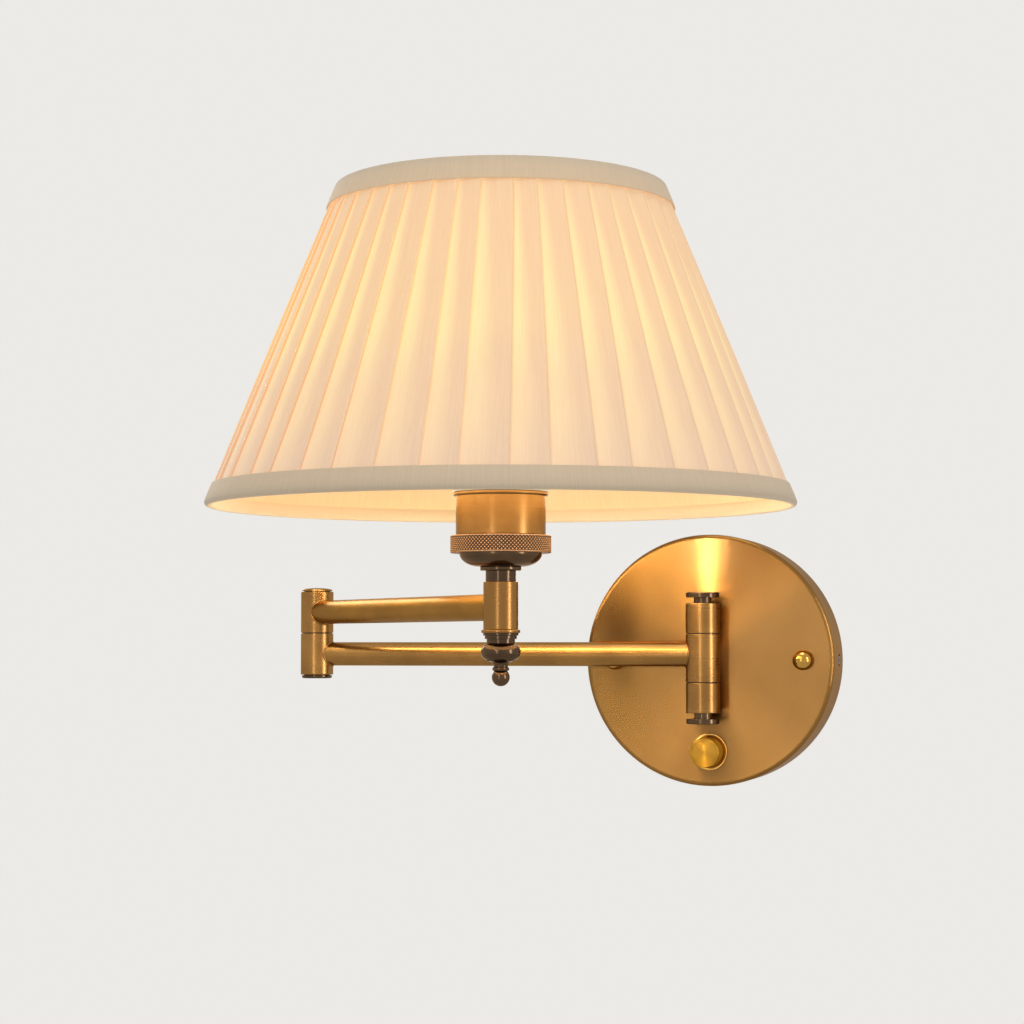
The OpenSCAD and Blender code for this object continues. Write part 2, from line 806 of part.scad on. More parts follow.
module stepped_collar() {
    steps = [0, 0.43, 0.76, 1];
    radii = [6, 6.8, 7.5];
    color(bronze) at_post() difference() {
        translate([0, 0, knob_nut_top]) rotate_extrude() polygon(concat(
            [[0, 0]],
            [for (i = [0 : 2]) for (end = [0, 1]) [radii[i], steps[i + end] * stepped_h]],
            [[0, stepped_h]]
        ));
        rod(nipple_r + fixed_gap, knob_nut_top - 1, stepped_top + 1);
    }
}

module knob_nut() {
    half = knob_nut_h / 2;
    color(bronze) at_post() difference() {
        translate([0, 0, knob_nut_bottom]) rotate_extrude() {
            square([knob_nut_r - half, knob_nut_h]);
            translate([knob_nut_r - half, half]) intersection() {
                circle(r = half);
                translate([0, -half]) square([half, knob_nut_h]);
            }
        }
        rod(nipple_r + fixed_gap, nipple_low - fixed_gap, knob_nut_top + 1);
        rod(finial_thread_r + fixed_gap, knob_nut_bottom - 1, nipple_low);
    }
}

// Finial: a hollowed foot under the knob, a thin neck with a ring, and a ball.
module finial() {
    foot_h = 2.4;
    foot_r = 6.2;
    neck = 3.4;
    ring_h = 2;
    color(bronze) at_post() translate([0, 0, knob_nut_bottom]) {
        rod(finial_thread_r, -foot_h, nipple_low - knob_nut_bottom - 0.2);
        rotate_extrude() polygon(concat(
            [[0, 0]],
            [for (a = [0 : 15 : 90]) [foot_r - (foot_r - neck + 0.4) * sin(a), -foot_h * (1 - cos(a))]],
            [[neck, -foot_h - 0.2], [neck + 0.2, -foot_h - ring_h / 2], [neck, -foot_h - ring_h + 0.2],
             [neck - 0.8, -foot_h - ring_h], [0, -foot_h - ring_h]]
        ));
        translate([0, 0, -finial_h + finial_ball_r]) sphere(r = finial_ball_r);
    }
}

module post_neck() {
    color(dark_brown) at_post() tube(neck_r, nipple_r + fixed_gap, neck_bottom, washer_bottom);
}

module post_washer() {
    color(bronze) at_post() difference() {
        bevelled_rod(post_washer_r, washer_bottom, bowl_bottom, 0.5, 0.3);
        rod(nipple_r + fixed_gap, washer_bottom - 1, bowl_bottom + 1);
    }
}

function bowl_curve(r, h, inner) = [
    for (a = [0 : 10 : 90]) [inner + (r - inner) * sin(a), h * (1 - cos(a))]
];

// Bowl: its rim rises as a skirt into the knurled collar.
module bowl() {
    flat_r = post_washer_r;
    color(bronze) at_post() translate([0, 0, bowl_bottom]) difference() {
        rotate_extrude() polygon(concat(
            [[0, 0]], bowl_curve(skirt_r, bowl_h, flat_r),
            [[skirt_r, bowl_h + skirt_h], [0, bowl_h + skirt_h]]
        ));
        translate([0, 0, bowl_wall]) rotate_extrude() polygon(concat(
            [[0, 0]], bowl_curve(skirt_r - bowl_wall, bowl_h - bowl_wall, flat_r - bowl_wall),
            [[skirt_r - bowl_wall, bowl_h + skirt_h], [0, bowl_h + skirt_h]]
        ));
        rod(nipple_r + fixed_gap, -1, bowl_wall + 1);
    }
}

module nipple_nut() {
    color(zinc) at_post() translate([0, 0, bowl_bottom + bowl_wall]) difference() {
        cylinder(r = nipple_nut_r, h = nipple_nut_h, $fn = 6);
        rod(nipple_r + fixed_gap, -1, nipple_nut_h + 1);
    }
}

module knurled_collar() {
    color(knurl_brown) at_post() difference() {
        bevelled_rod(collar_d / 2, bowl_top, collar_top, 0.5, 0.5);
        rod(skirt_r + fixed_gap, bowl_top - 1, collar_top + 1);
    }
}

// Socket cup: its narrowed foot stands inside the knurled collar and its rim rolls outwards.
module socket_cup() {
    color(satin_brass) at_post() difference() {
        union() {
            rod(skirt_r, collar_top - skirt_h, collar_top + eps);
            rod(cup_r, collar_top, cup_top);
            bevelled_rod(lip_r, cup_top - lip_h, cup_top, 0.7, 0.5);
        }
        rod(cup_r - cup_wall, collar_top + cup_wall, cup_top + 1);
        rod(skirt_r - cup_wall, collar_top - skirt_h - 1, collar_top + cup_wall + 1);
    }
}

// Lampholder: an insulating body that hangs in the cup by its flange. Its sleeve is threaded
// outside for the ring that clamps the shade.
module lampholder() {
    body_r = skirt_r - cup_wall - holder_gap;
    color(ivory) at_post() difference() {
        union() {
            rod(body_r, holder_bottom, cup_top);
            rod(lip_r + holder_flange_out, cup_top, holder_flange_top);
            rod(holder_sleeve_r, cup_top, holder_top);
        }
        rod(shell_r + fixed_gap, holder_floor, holder_top + 1);
        rod(flex_r + cord_play, holder_bottom - 1, holder_floor - holder_floor_t);
    }
}

module screw_shell() {
    color(bright_brass) at_post()
        tube(shell_r, shell_r - shell_wall, holder_floor + shell_low, holder_top - shell_high);
}

module centre_contact() {
    color(bright_brass) at_post() rod(contact_r, holder_floor, holder_floor + contact_h);
}

module shade_clamp_ring() {
    start = fitter_bottom + fitter_t + wall_gap;
    color(ivory) at_post() difference() {
        bevelled_rod(clamp_r, start, start + clamp_h, 0.4, 0.8);
        rod(holder_sleeve_r + fixed_gap, start - 1, start + clamp_h + 1);
    }
}

module fitter_ring() {
    color(zinc) at_post() tube(fitter_r, fitter_bore_r, fitter_bottom, fitter_bottom + fitter_t);
}

// The three straight wires from the fitter ring out to the bottom ring, with a margin for the
// slits that the band and the lining have round them.
module arm_wires(r, extra) {
    for (i = [0 : arm_count - 1])
        rotate([0, 0, fitter_turn + i * 360 / arm_count])
            translate([fitter_r, 0, fitter_mid]) rotate([0, arm_tilt, 0])
                translate([0, 0, arm_gap]) cylinder(r = r, h = arm_length + extra, $fn = 32);
}

module fitter_arms() {
    color(zinc) at_head() arm_wires(arm_wire_r, 0);
}

// The shade's own directions stay those of the room, whatever the arms' angle.
module at_head() {
    at_post() rotate([0, 0, fold_angle]) children();
}

module wire_ring(at) {
    rotate_extrude($fn = 180) translate(at) circle(d = ring_wire, $fn = 32);
}

module bottom_ring() {
    color(zinc) at_post() wire_ring(bottom_ring_at);
}

module top_ring() {
    color(zinc) at_post() wire_ring(top_ring_at);
}

// The stretch of the sloping wall between two distances along the slope, from u0 out to u1
module wall_stretch(v0, v1, u0, u1) {
    polygon([wall_at(v0, u0), wall_at(v0, u1), wall_at(v1, u1), wall_at(v1, u0)]);
}

// Lining: a smooth stiff cone that carries the pleats.
module lining() {
    color("white") at_head() difference() {
        rotate_extrude($fn = 180)
            wall_stretch(wall_start, slant - wall_start, lining_in, lining_in + lining_t);
        arm_wires(arm_wire_r + wall_gap, 4);
    }
}

// A strip folded round a ring wire: a long outer leg and a short inner one along the wall.
module folded_band(outer_leg, inner_leg) {
    difference() {
        circle(r = roll_r, $fn = 64);
        circle(r = roll_r - band_t, $fn = 64);
        translate([-2 * roll_r, 0]) square(4 * roll_r);
    }
    translate([roll_r - band_t, -eps]) square([band_t, outer_leg + eps]);
    translate([-roll_r, -eps]) square([band_t, inner_leg + eps]);
}

module bottom_band() {
    color(ivory) at_head() difference() {
        rotate_extrude($fn = 180) translate(bottom_ring_at) rotate(slope)
            folded_band((bottom_band_h - roll_r) / cos(slope), inner_leg);
        arm_wires(arm_wire_r + wall_gap, 1);
    }
}

module top_band() {
    color(ivory) at_head() rotate_extrude($fn = 180)
        translate(top_ring_at) rotate(slope) mirror([0, 1])
            folded_band((top_band_h - roll_r) / cos(slope), inner_leg);
}

// Knife pleats: each one rises from the valley to its fold and drops back under the next.
pleat_steps = [[0, 0], [0.45, 0.55], [0.94, 1]];
steps_each = len(pleat_steps);
widest_step = 0.49 * 360 / pleats;

function pleat_point(i, v, inner) =
    let (
        step = pleat_steps[i % steps_each],
        turn = (floor(i / steps_each) + step[0]) * 360 / pleats,
        u = inner ? fabric_in : fabric_out - pleat_depth * (1 - step[1]),
        at = wall_at(v, u),
        out = inner ? at[0] / cos(widest_step / 2) : at[0]
    )
    [out * cos(turn), out * sin(turn), at[1]];

// A closed wall through four rings of points: outside low, outside high, inside high, inside low
module ringed_wall(rings) {
    count = len(rings[0]);
    polyhedron(
        points = [for (ring = rings) for (p = ring) p],
        faces = [for (k = [0 : 3]) for (j = [0 : count - 1])
            let (
                a = k * count + j,
                b = k * count + (j + 1) % count,
                c = ((k + 1) % 4) * count + (j + 1) % count,
                d = ((k + 1) % 4) * count + j
            )
            each [[a, c, b], [a, d, c]]]
    );
}

module pleated_fabric() {
    last = pleats * steps_each - 1;
    ends = [[wall_start, false], [slant - wall_start, false], [slant - wall_start, true], [wall_start, true]];
    color(ivory) at_head() ringed_wall([
        for (end = ends) [for (i = [0 : last]) pleat_point(i, end[0], end[1])]
    ]);
}

// Bulb: a pear-shaped glass whose shoulder is the cone that touches the ball.
module bulb_shape(grow, bottom) {
    away = norm([glass_neck_r, glass_neck_top - bulb_centre]);
    turn = atan2(glass_neck_top - bulb_centre, glass_neck_r) + acos(bulb_r / away);
    touch = [bulb_r * cos(turn), bulb_centre + bulb_r * sin(turn)];
    translate([0, 0, bulb_centre]) sphere(r = bulb_r + grow);
    rotate_extrude() polygon([
        [0, bottom], [glass_neck_r + grow, bottom], [glass_neck_r + grow, glass_neck_top],
        touch + grow * [cos(turn), sin(turn)], [0, touch[1]]
    ]);
}

module bulb_glass() {
    color("white", 0.4) at_post() difference() {
        bulb_shape(0, glass_bottom);
        bulb_shape(-glass_wall, glass_bottom - 1);
    }
}

module bulb_cap() {
    color(zinc) at_post() difference() {
        rotate_extrude() polygon([
            [0, cap_bottom], [cap_tip_r, cap_bottom], [cap_tip_r, cap_bottom + cap_tip_h],
            [cap_d / 2, cap_bottom + cap_tip_h + cap_cone_h], [cap_d / 2, cap_top], [0, cap_top]
        ]);
        rod(cap_d / 2 - cap_wall, stem_bottom, cap_top + 1);
    }
}

module bulb_stem() {
    color("white", 0.4) at_post() {
        rod(stem_glass_r, stem_bottom, stem_top);
        rod(stem_glass_r + stem_disc_out, stem_top - stem_disc_h, stem_top);
    }
}

module bulb_filaments() {
    color("orange") at_post() for (i = [0 : 3])
        rotate([0, 0, 45 + 90 * i]) translate([stem_glass_r, 0, stem_top + wall_gap])
            rotate([0, filament_lean, 0]) translate([0, 0, filament_r * sin(filament_lean)])
                cylinder(r = filament_r, h = filament_len, $fn = 24);
}

mounting_strap();
mounting_studs();
stud_lock_nuts();
earth_screw();
terminal_block();
terminal_screws();
back_plate();
ball_nuts();
side_set_screw();
pivot_upper_bracket();
pivot_lower_bracket();
bracket_nuts();
pivot_axle();
pivot_top_head();
pivot_bottom_head();
pivot_washers();
dimmer_body();
dimmer_nut();
dimmer_knob();
dimmer_spindle();
pivot_middle_knuckle();
lower_arm_tube();
lower_arm_flex();
elbow_lower_knuckle();
elbow_bottom_cap();
elbow_nipple();
elbow_lock_nuts();
elbow_washer();
elbow_upper_knuckle();
elbow_top_cap();
upper_arm_tube();
upper_arm_flex();
post_knuckle();
post_nipple();
post_flange();
stepped_collar();
knob_nut();
finial();
post_neck();
post_washer();
bowl();
nipple_nut();
knurled_collar();
socket_cup();
lampholder();
screw_shell();
centre_contact();
shade_clamp_ring();
fitter_ring();
fitter_arms();
bottom_ring();
top_ring();
lining();
pleated_fabric();
bottom_band();
top_band();
bulb_cap();
bulb_glass();
bulb_stem();
bulb_filaments();
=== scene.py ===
"""Swing arm wall lamp: a lit pleated shade on two jointed brass arms, with a dimmer on its wall plate.

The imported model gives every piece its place. This script gives each visible piece its finished
surface: turned brass parts with eased edges, solder beads, knurls, the knife-pleated cloth, its
bands and lining, and the bulb. Shapes are written in millimetres and turned to metres by MM; the
camera and the lights are written in metres.
"""

import json
import math

import bpy
import numpy as np
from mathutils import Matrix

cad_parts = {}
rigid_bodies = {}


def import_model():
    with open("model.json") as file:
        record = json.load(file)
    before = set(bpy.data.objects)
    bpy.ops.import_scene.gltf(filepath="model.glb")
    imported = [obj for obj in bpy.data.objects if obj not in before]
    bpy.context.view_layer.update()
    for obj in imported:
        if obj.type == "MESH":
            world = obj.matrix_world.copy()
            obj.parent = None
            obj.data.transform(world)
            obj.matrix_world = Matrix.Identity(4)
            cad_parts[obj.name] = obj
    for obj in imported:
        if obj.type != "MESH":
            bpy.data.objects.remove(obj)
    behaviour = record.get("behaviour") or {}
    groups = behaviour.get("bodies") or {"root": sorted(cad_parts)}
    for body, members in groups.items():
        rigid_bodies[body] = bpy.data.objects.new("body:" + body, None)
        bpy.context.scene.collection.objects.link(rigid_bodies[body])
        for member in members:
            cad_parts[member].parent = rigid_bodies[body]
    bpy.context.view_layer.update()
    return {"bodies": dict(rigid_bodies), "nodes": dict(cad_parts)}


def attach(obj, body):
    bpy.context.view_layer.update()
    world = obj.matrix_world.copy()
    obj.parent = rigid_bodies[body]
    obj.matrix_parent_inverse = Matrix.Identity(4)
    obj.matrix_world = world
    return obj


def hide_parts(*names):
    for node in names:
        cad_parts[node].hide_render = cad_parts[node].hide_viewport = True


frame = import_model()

MM = 0.001

# Axes of the lamp in plan: the wall pivot, the elbow and the lamp post all stand upright. The lower
# arm lies along the wall, and the upper one, as long, comes back from it at the angle FOLD.
PIVOT = (0.0, -42.0)
ELBOW = (-194.0, -42.0)
POST = (-58.5057, -180.8445)
FOLD = math.radians(45.7)
# Heights, counted from the plate's centre.
LOWER_ARM_Z = 2.8
UPPER_ARM_Z = 23.2
ELBOW_SEAM_Z = 13.0
ELBOW_HALF = 20.4                   # from the seam to either end of the elbow
UPPER_BRACKET_Z, LOWER_BRACKET_Z = 12.5, -10.5
TOP_HEAD_Z, BOTTOM_HEAD_Z = 29.6, -27.6
MIDDLE_KNUCKLE_Z = -10.25
DIMMER_Z = -43.6
# Sizes that several pieces share.
PLATE_FRONT = 28.0
TUBE_R, TUBE_BORE = 5.75, 4.75
KNUCKLE_R, POST_KNUCKLE_R = 8.0, 7.4
POST_BORE = 4.02


# Camera.

def place_camera():
    """The photograph's viewpoint: 1.2 m in front of the wall, to the right and looking up 3 degrees."""
    data = bpy.data.cameras.new("camera")
    data.lens = 84.485
    data.sensor_width = 36.0
    camera = bpy.data.objects.new("camera", data)
    camera.location = (0.2291, -1.1582, 0.0075)
    camera.rotation_euler = (math.radians(93.151), 0.0, math.radians(16.13))
    bpy.context.collection.objects.link(camera)
    bpy.context.scene.camera = camera


place_camera()


# Colour and nodes.

def linear(code):
    """Turns a six-digit sRGB hex code to the linear colour that the shader wants."""
    parts = [int(code[i:i + 2], 16) / 255 for i in (1, 3, 5)]
    return tuple(c / 12.92 if c <= 0.04045 else ((c + 0.055) / 1.055) ** 2.4 for c in parts) + (1.0,)


def with_nodes(owner):
    """Gives a new material or world an empty node tree."""
    owner.use_nodes = True
    owner.node_tree.nodes.clear()
    return owner


def add(owner, kind, sockets=None, stops=(), ease="LINEAR", **settings):
    """Adds one node. settings name its own properties, or its sockets with _ for a blank. sockets
    maps a socket's name or number to the (node, output) that feeds it, or to its value. stops are
    a ramp's (position, sRGB hex) pairs, and ease is how its colours run into each other."""
    tree = owner.node_tree
    node = tree.nodes.new(kind)
    for key, value in settings.items():
        if hasattr(node, key):
            setattr(node, key, value)
    for key, value in settings.items():
        if not hasattr(node, key):
            node.inputs[key.replace("_", " ")].default_value = value
    for key, value in (sockets or {}).items():
        if isinstance(value, tuple) and isinstance(value[0], bpy.types.Node):
            tree.links.new(value[0].outputs[value[1]], node.inputs[key])
        else:
            node.inputs[key].default_value = value
    if stops:
        ramp = node.color_ramp
        ramp.interpolation = ease
        ramp.elements.remove(ramp.elements[-1])
        ramp.elements[0].position = stops[0][0]
        ramp.elements[0].color = linear(stops[0][1])
        for position, code in stops[1:]:
            ramp.elements.new(position).color = linear(code)
    return node


# Mesh building.

# A shell is (points, blocks): points in mm, and blocks of faces, each an array of quads or triangles.

def put_mesh(name, shell, sharp=None):
    """Puts a shell into a new object at the origin. Edges sharper than sharp degrees stay sharp."""
    points, blocks = shell
    mesh = bpy.data.meshes.new(name)
    mesh.from_pydata(points * MM, [], sum((block.tolist() for block in blocks), []))
    mesh.polygons.foreach_set("use_smooth", np.full(len(mesh.polygons), True))
    if sharp is not None:
        mesh.set_sharp_from_angle(angle=math.radians(sharp))
    mesh.update()
    piece = bpy.data.objects.new(name, mesh)
    bpy.context.collection.objects.link(piece)
    return piece


def put_piece(name, shell, body, material, node, sharp=None):
    """Makes a shell a piece of the lamp: its mesh, its material, the body that carries it and the
    CAD node that it stands for."""
    piece = put_mesh(name, shell, sharp)
    piece.data.materials.append(material)
    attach(piece, body)
    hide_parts(node)
    return piece


def point_values(piece, name, values):
    """Keeps one number for each point of a piece, for its material to read."""
    layer = piece.data.attributes.new(name, "FLOAT", "POINT")
    layer.data.foreach_set("value", values.astype(np.float32))


def mapped(piece, u, v):
    """Gives a piece a UV map in mm: each corner takes the u and v of its point."""
    layer = piece.data.uv_layers.new(name="cloth")
    corner = np.empty(len(piece.data.loops), dtype=np.int32)
    piece.data.loops.foreach_get("vertex_index", corner)
    layer.data.foreach_set("uv", np.stack([u[corner], v[corner]], axis=-1).ravel().astype(np.float32))


def grid_faces(rows, columns, wrap_rows):
    """Quads between neighbouring points of a rows by columns grid. Its last column joins its first,
    and so does its last row where wrap_rows says so."""
    i = np.arange(rows if wrap_rows else rows - 1)[:, None]
    j = np.arange(columns)[None, :]
    here, above, beside = i * columns, (i + 1) % rows * columns, (j + 1) % columns
    return np.stack([here + j, here + beside, above + beside, above + j], axis=-1).reshape(-1, 4)


def full_turn(sides):
    """The angles of so many even steps round a circle."""
    return np.arange(sides) * 2 * math.pi / sides


def arc(centre, reach, start, end, count):
    """Points of an arc as (radius, height) rows: centre + reach (cos a, sin a) from start to end."""
    a = np.linspace(start, end, count)[:, None]
    return np.array(centre) + np.array(reach) * np.hstack([np.cos(a), np.sin(a)])


def eased(corners, steps=6):
    """A profile of (radius, height, fillet) corners with each corner replaced by a circular arc.
    The arc is tangent to both sides: its centre lies on the corner's bisector, its ends lie
    fillet / tan(half the corner's angle) from the corner, and a point past each end keeps the
    flats flat."""
    corners = [tuple(map(float, c)) for c in corners]
    out = []
    for k, (r, h, fillet) in enumerate(corners):
        here = np.array([r, h])
        if fillet <= 0:
            out.append(here[None])
            continue
        before = np.array(corners[k - 1][:2]) - here
        after = np.array(corners[(k + 1) % len(corners)][:2]) - here
        before /= np.linalg.norm(before)
        after /= np.linalg.norm(after)
        half = math.acos(max(-1.0, min(1.0, float(before @ after)))) / 2
        reach = fillet / math.tan(half)
        middle = here + (before + after) / np.linalg.norm(before + after) * fillet / math.sin(half)
        start, end = here + before * reach, here + after * reach
        first, last = start - middle, end - middle
        turn = math.atan2(first[0] * last[1] - first[1] * last[0], float(first @ last))
        angle = np.linspace(0, turn, steps + 1)[:, None]
        curve = middle + np.cos(angle) * first + np.sin(angle) * np.array([-first[1], first[0]])
        past = 0.4 * reach
        out.append(np.vstack([start + before * past, curve, end + after * past]))
    return np.vstack(out)


def spin(profile, closed, sides=96, cut=0.0):
    """A profile turned about the height axis: at angle t its point is (s cos t, s sin t, height),
    where s is the radius less cut, which is 0 or a rows by sides array. A closed profile makes a
    ring. An open one starts and ends on the axis, in one point each that a fan of triangles joins
    to the first and the last row. A profile that runs counter-clockwise gives faces outwards."""
    turn = full_turn(sides)
    rows = profile if closed else profile[1:-1]
    r, h = rows[:, :1] - cut, rows[:, 1:]
    points = np.stack([r * np.cos(turn), r * np.sin(turn), h + 0 * turn], axis=-1).reshape(-1, 3)
    quads = grid_faces(len(rows), sides, closed)
    if closed:
        return points, [quads]
    first_pole, last_pole = len(points), len(points) + 1
    near = np.arange(sides)
    far = (near + 1) % sides
    last_row = (len(rows) - 1) * sides
    low = np.stack([np.full(sides, first_pole), far, near], axis=-1)
    high = np.stack([np.full(sides, last_pole), last_row + near, last_row + far], axis=-1)
    poles = np.array([[0, 0, profile[0, 1]], [0, 0, profile[-1, 1]]])
    return np.vstack([points, poles]), [quads, np.vstack([low, high])]


def turned(corners, closed=True, sides=96):
    """A turned piece's shell from its corners, as eased and spin take them."""
    return spin(eased(corners), closed, sides)


def placed(shell, across, along, up, origin):
    """Lays a shell on new axes: its x, y and height run along the three directions from origin."""
    points, blocks = shell
    return points @ np.array([across, along, up], dtype=float) + origin, blocks


def upright(shell, at, base=0.0):
    """Stands a shell on the upright axis at (x, y), with its heights counted up from base."""
    return placed(shell, (1, 0, 0), (0, 1, 0), (0, 0, 1), (*at, base))


def hanging(shell, at, base):
    """The same upside down: heights run down from base."""
    return placed(shell, (1, 0, 0), (0, -1, 0), (0, 0, -1), (*at, base))


def outward(shell, x, z, depth=PLATE_FRONT):
    """Lays a shell on the axis that comes out of the wall at (x, z), heights counted from depth."""
    return placed(shell, (1, 0, 0), (0, 0, 1), (0, -1, 0), (x, -depth, z))


def sideways(shell, at, z, angle):
    """Lays a shell on the level axis that leaves (x, y) at height z along angle in plan."""
    c, s = math.cos(angle), math.sin(angle)
    return placed(shell, (0, 0, -1), (-s, c, 0), (c, s, 0), (*at, z))


def joined(*shells):
    """Several shells as one."""
    starts = np.cumsum([0] + [len(points) for points, _ in shells])
    return (np.vstack([points for points, _ in shells]),
            [block + start for (_, blocks), start in zip(shells, starts) for block in blocks])


def solder_bead(tube_r, knuckle_r):
    """The bead where a round tube meets a round knuckle: a 0.5 mm circle carried round the seam,
    a little uneven. With the tube along the height, the seam at angle t is (tube_r cos t,
    tube_r sin t) at the height sqrt(knuckle_r^2 - (tube_r sin t)^2)."""
    size, steps, sides = 0.5, 96, 10
    t = full_turn(steps)
    seam = np.stack([tube_r * np.cos(t), tube_r * np.sin(t),
                     np.sqrt(knuckle_r ** 2 - (tube_r * np.sin(t)) ** 2)], axis=-1)
    away = np.stack([np.cos(t), np.sin(t), 0 * t], axis=-1)
    uneven = size * (1 + 0.12 * np.sin(5 * t + 1.0) + 0.08 * np.sin(11 * t))
    a = full_turn(sides)[None, :, None]
    ring = seam[:, None] + uneven[:, None, None] * (
        np.cos(a) * away[:, None] + np.sin(a) * np.array([0.0, 0.0, 1.0]))
    return ring.reshape(-1, 3), [grid_faces(steps, sides, True)[:, ::-1]]


# Metals.

# Lacquer keeps the metals from going white where they are seen edge on.
EDGE = "#cdb596"
# How tool lines lie: the turn in plan to their own direction, and the stretch of their noise.
LINES = {"level": (0.0, (0.008, 0.008, 1.0)), "cloud": (0.0, (1.0, 1.0, 1.0)),
         "lower arm": (0.0, (0.02, 1.0, 1.0)), "upper arm": (FOLD, (0.02, 1.0, 1.0))}


def metal(name, low, high, roughness, grain, lines="cloud", edge=EDGE, bump=0.07, coat=0.12,
          clouds=40.0, anisotropic=0.0, groove_shade=None):
    """Brass and steel as they come off the lathe and the brush: two close tones mixed by slow
    noise, with clouds patches to the metre, and a little by the tool lines, whose spacing in mm is
    grain. The lines run round an upright axis ("level"), round the plate's centre ("plate", noise
    on the distance from it), along an arm, or nowhere ("cloud"). edge is the tone that the metal
    takes where it is seen edge on. An anisotropic one is brushed in circles about an axis out of
    the wall. The last argument names an attribute that is 1 in a groove, where painted shade
    darkens the metal to near black."""
    m = with_nodes(bpy.data.materials.new(name))
    place = add(m, "ShaderNodeTexCoord")
    cloud = add(m, "ShaderNodeTexNoise", {"Vector": (place, "Object")}, Scale=clouds, Detail=3.0,
                Roughness=0.55)
    if lines == "plate":
        split = add(m, "ShaderNodeSeparateXYZ", {"Vector": (place, "Object")})
        flat = add(m, "ShaderNodeCombineXYZ", {"X": (split, "X"), "Y": (split, "Z")})
        far = add(m, "ShaderNodeVectorMath", {0: (flat, "Vector")}, operation="LENGTH")
        at = add(m, "ShaderNodeCombineXYZ", {"X": (far, "Value")})
    else:
        angle, stretch = LINES[lines]
        own = add(m, "ShaderNodeMapping", {"Vector": (place, "Object")}, Rotation=(0.0, 0.0, angle))
        at = add(m, "ShaderNodeVectorMath", {0: (own, "Vector"), 1: stretch}, operation="MULTIPLY")
    tool = add(m, "ShaderNodeTexNoise", {"Vector": (at, "Vector")}, Scale=1.0 / (grain * MM),
               Detail=2.0, Roughness=0.6)
    share = add(m, "ShaderNodeMath", {0: (tool, "Fac"), 1: 0.15, 2: (cloud, "Fac")},
                operation="MULTIPLY_ADD")
    tone = add(m, "ShaderNodeValToRGB", {"Fac": (share, "Value")}, [(0.46, low), (0.7, high)])
    colour = (tone, "Color")
    # Painted shade: the groove attribute mixes the metal towards near black.
    if groove_shade:
        groove = add(m, "ShaderNodeAttribute", attribute_name=groove_shade)
        colour = (add(m, "ShaderNodeMix", {0: (groove, "Fac"), 6: colour, 7: linear("#22150d")},
                      data_type="RGBA"), 2)
    rough = add(m, "ShaderNodeMapRange", {"Value": (tool, "Fac")}, From_Min=0.3, From_Max=0.7,
                To_Min=roughness[0], To_Max=roughness[1])
    relief = add(m, "ShaderNodeBump", {"Height": (tool, "Fac")}, Strength=bump, Distance=0.00004)
    feeds = {"Base Color": colour, "Roughness": (rough, "Result"), "Normal": (relief, "Normal")}
    if anisotropic:
        feeds["Tangent"] = (add(m, "ShaderNodeTangent", direction_type="RADIAL", axis="Y"), "Tangent")
    shader = add(m, "ShaderNodeBsdfPrincipled", feeds, Metallic=1.0, Specular_Tint=linear(edge),
                 Coat_Weight=coat, Coat_Roughness=0.22, Anisotropic=anisotropic,
                 Anisotropic_Rotation=0.25 if anisotropic else 0.0)
    add(m, "ShaderNodeOutputMaterial", {"Surface": (shader, "BSDF")})
    return m


# Real brushing is about 0.1 mm apart, too fine to show, so every grain here is drawn coarser.

# Aged brass, satin-turned: warm brown gold, with faint level lines and soft upright streaks.
satin_upright = metal("satin brass, turned on the upright axis", "#8d6430", "#9f733a",
                      (0.27, 0.29), 0.8, "level", bump=0.0, coat=0.3)
# Drawn tube, brushed lengthwise: one long soft bright line, smooth to the touch.
satin_lower = metal("satin brass tube, lower arm", "#8f6630", "#a07439", (0.26, 0.3), 0.8,
                    "lower arm", bump=0.015, coat=0.3)
satin_upper = metal("satin brass tube, upper arm", "#8f6630", "#a07439", (0.3, 0.36), 0.8,
                    "upper arm", bump=0.02, coat=0.2)
# The wall plate is spun and brushed round its centre, so light gathers in a bow tie on its face.
plate_brass = metal("satin brass, brushed round the plate", "#825c2b", "#946a35", (0.245, 0.255),
                    1.6, "plate", bump=0.0, clouds=12.0, anisotropic=0.95)
# Faced on the lathe and lacquered: yellow and bright, with its own bow tie.
knob_brass = metal("bright brass, faced on the lathe", "#a9781f", "#bf8c2f", (0.34, 0.42), 0.4,
                   bump=0.05, anisotropic=0.95)
# Polished and lacquered: small bright lights, hardly any grain.
polished = metal("polished brass", "#b88a3b", "#c99c4e", (0.1, 0.18), 0.8, bump=0.04)
# Darkened in a bronzing bath and waxed: deep brown, with bright edges.
bronze = metal("dark bronzed brass", "#483420", "#5b4328", (0.14, 0.22), 0.3, "level", coat=0.4)
# Cut with crossed knurling wheels: reddish tan crowns, with painted shade darkening the grooves.
knurled = metal("knurled brass, painted dark in its grooves", "#9b775a", "#aa8566", (0.22, 0.34), 0.5,
                bump=0.05, groove_shade="groove")
# Steel with a bright zinc skin: cool grey, faintly clouded.
zinc = metal("zinc-plated steel, passivated", "#a9adb1", "#c3c6c8", (0.25, 0.4), 0.8,
             edge="#b8bbbd", bump=0.05, coat=0.0)


# Plastics and glass.

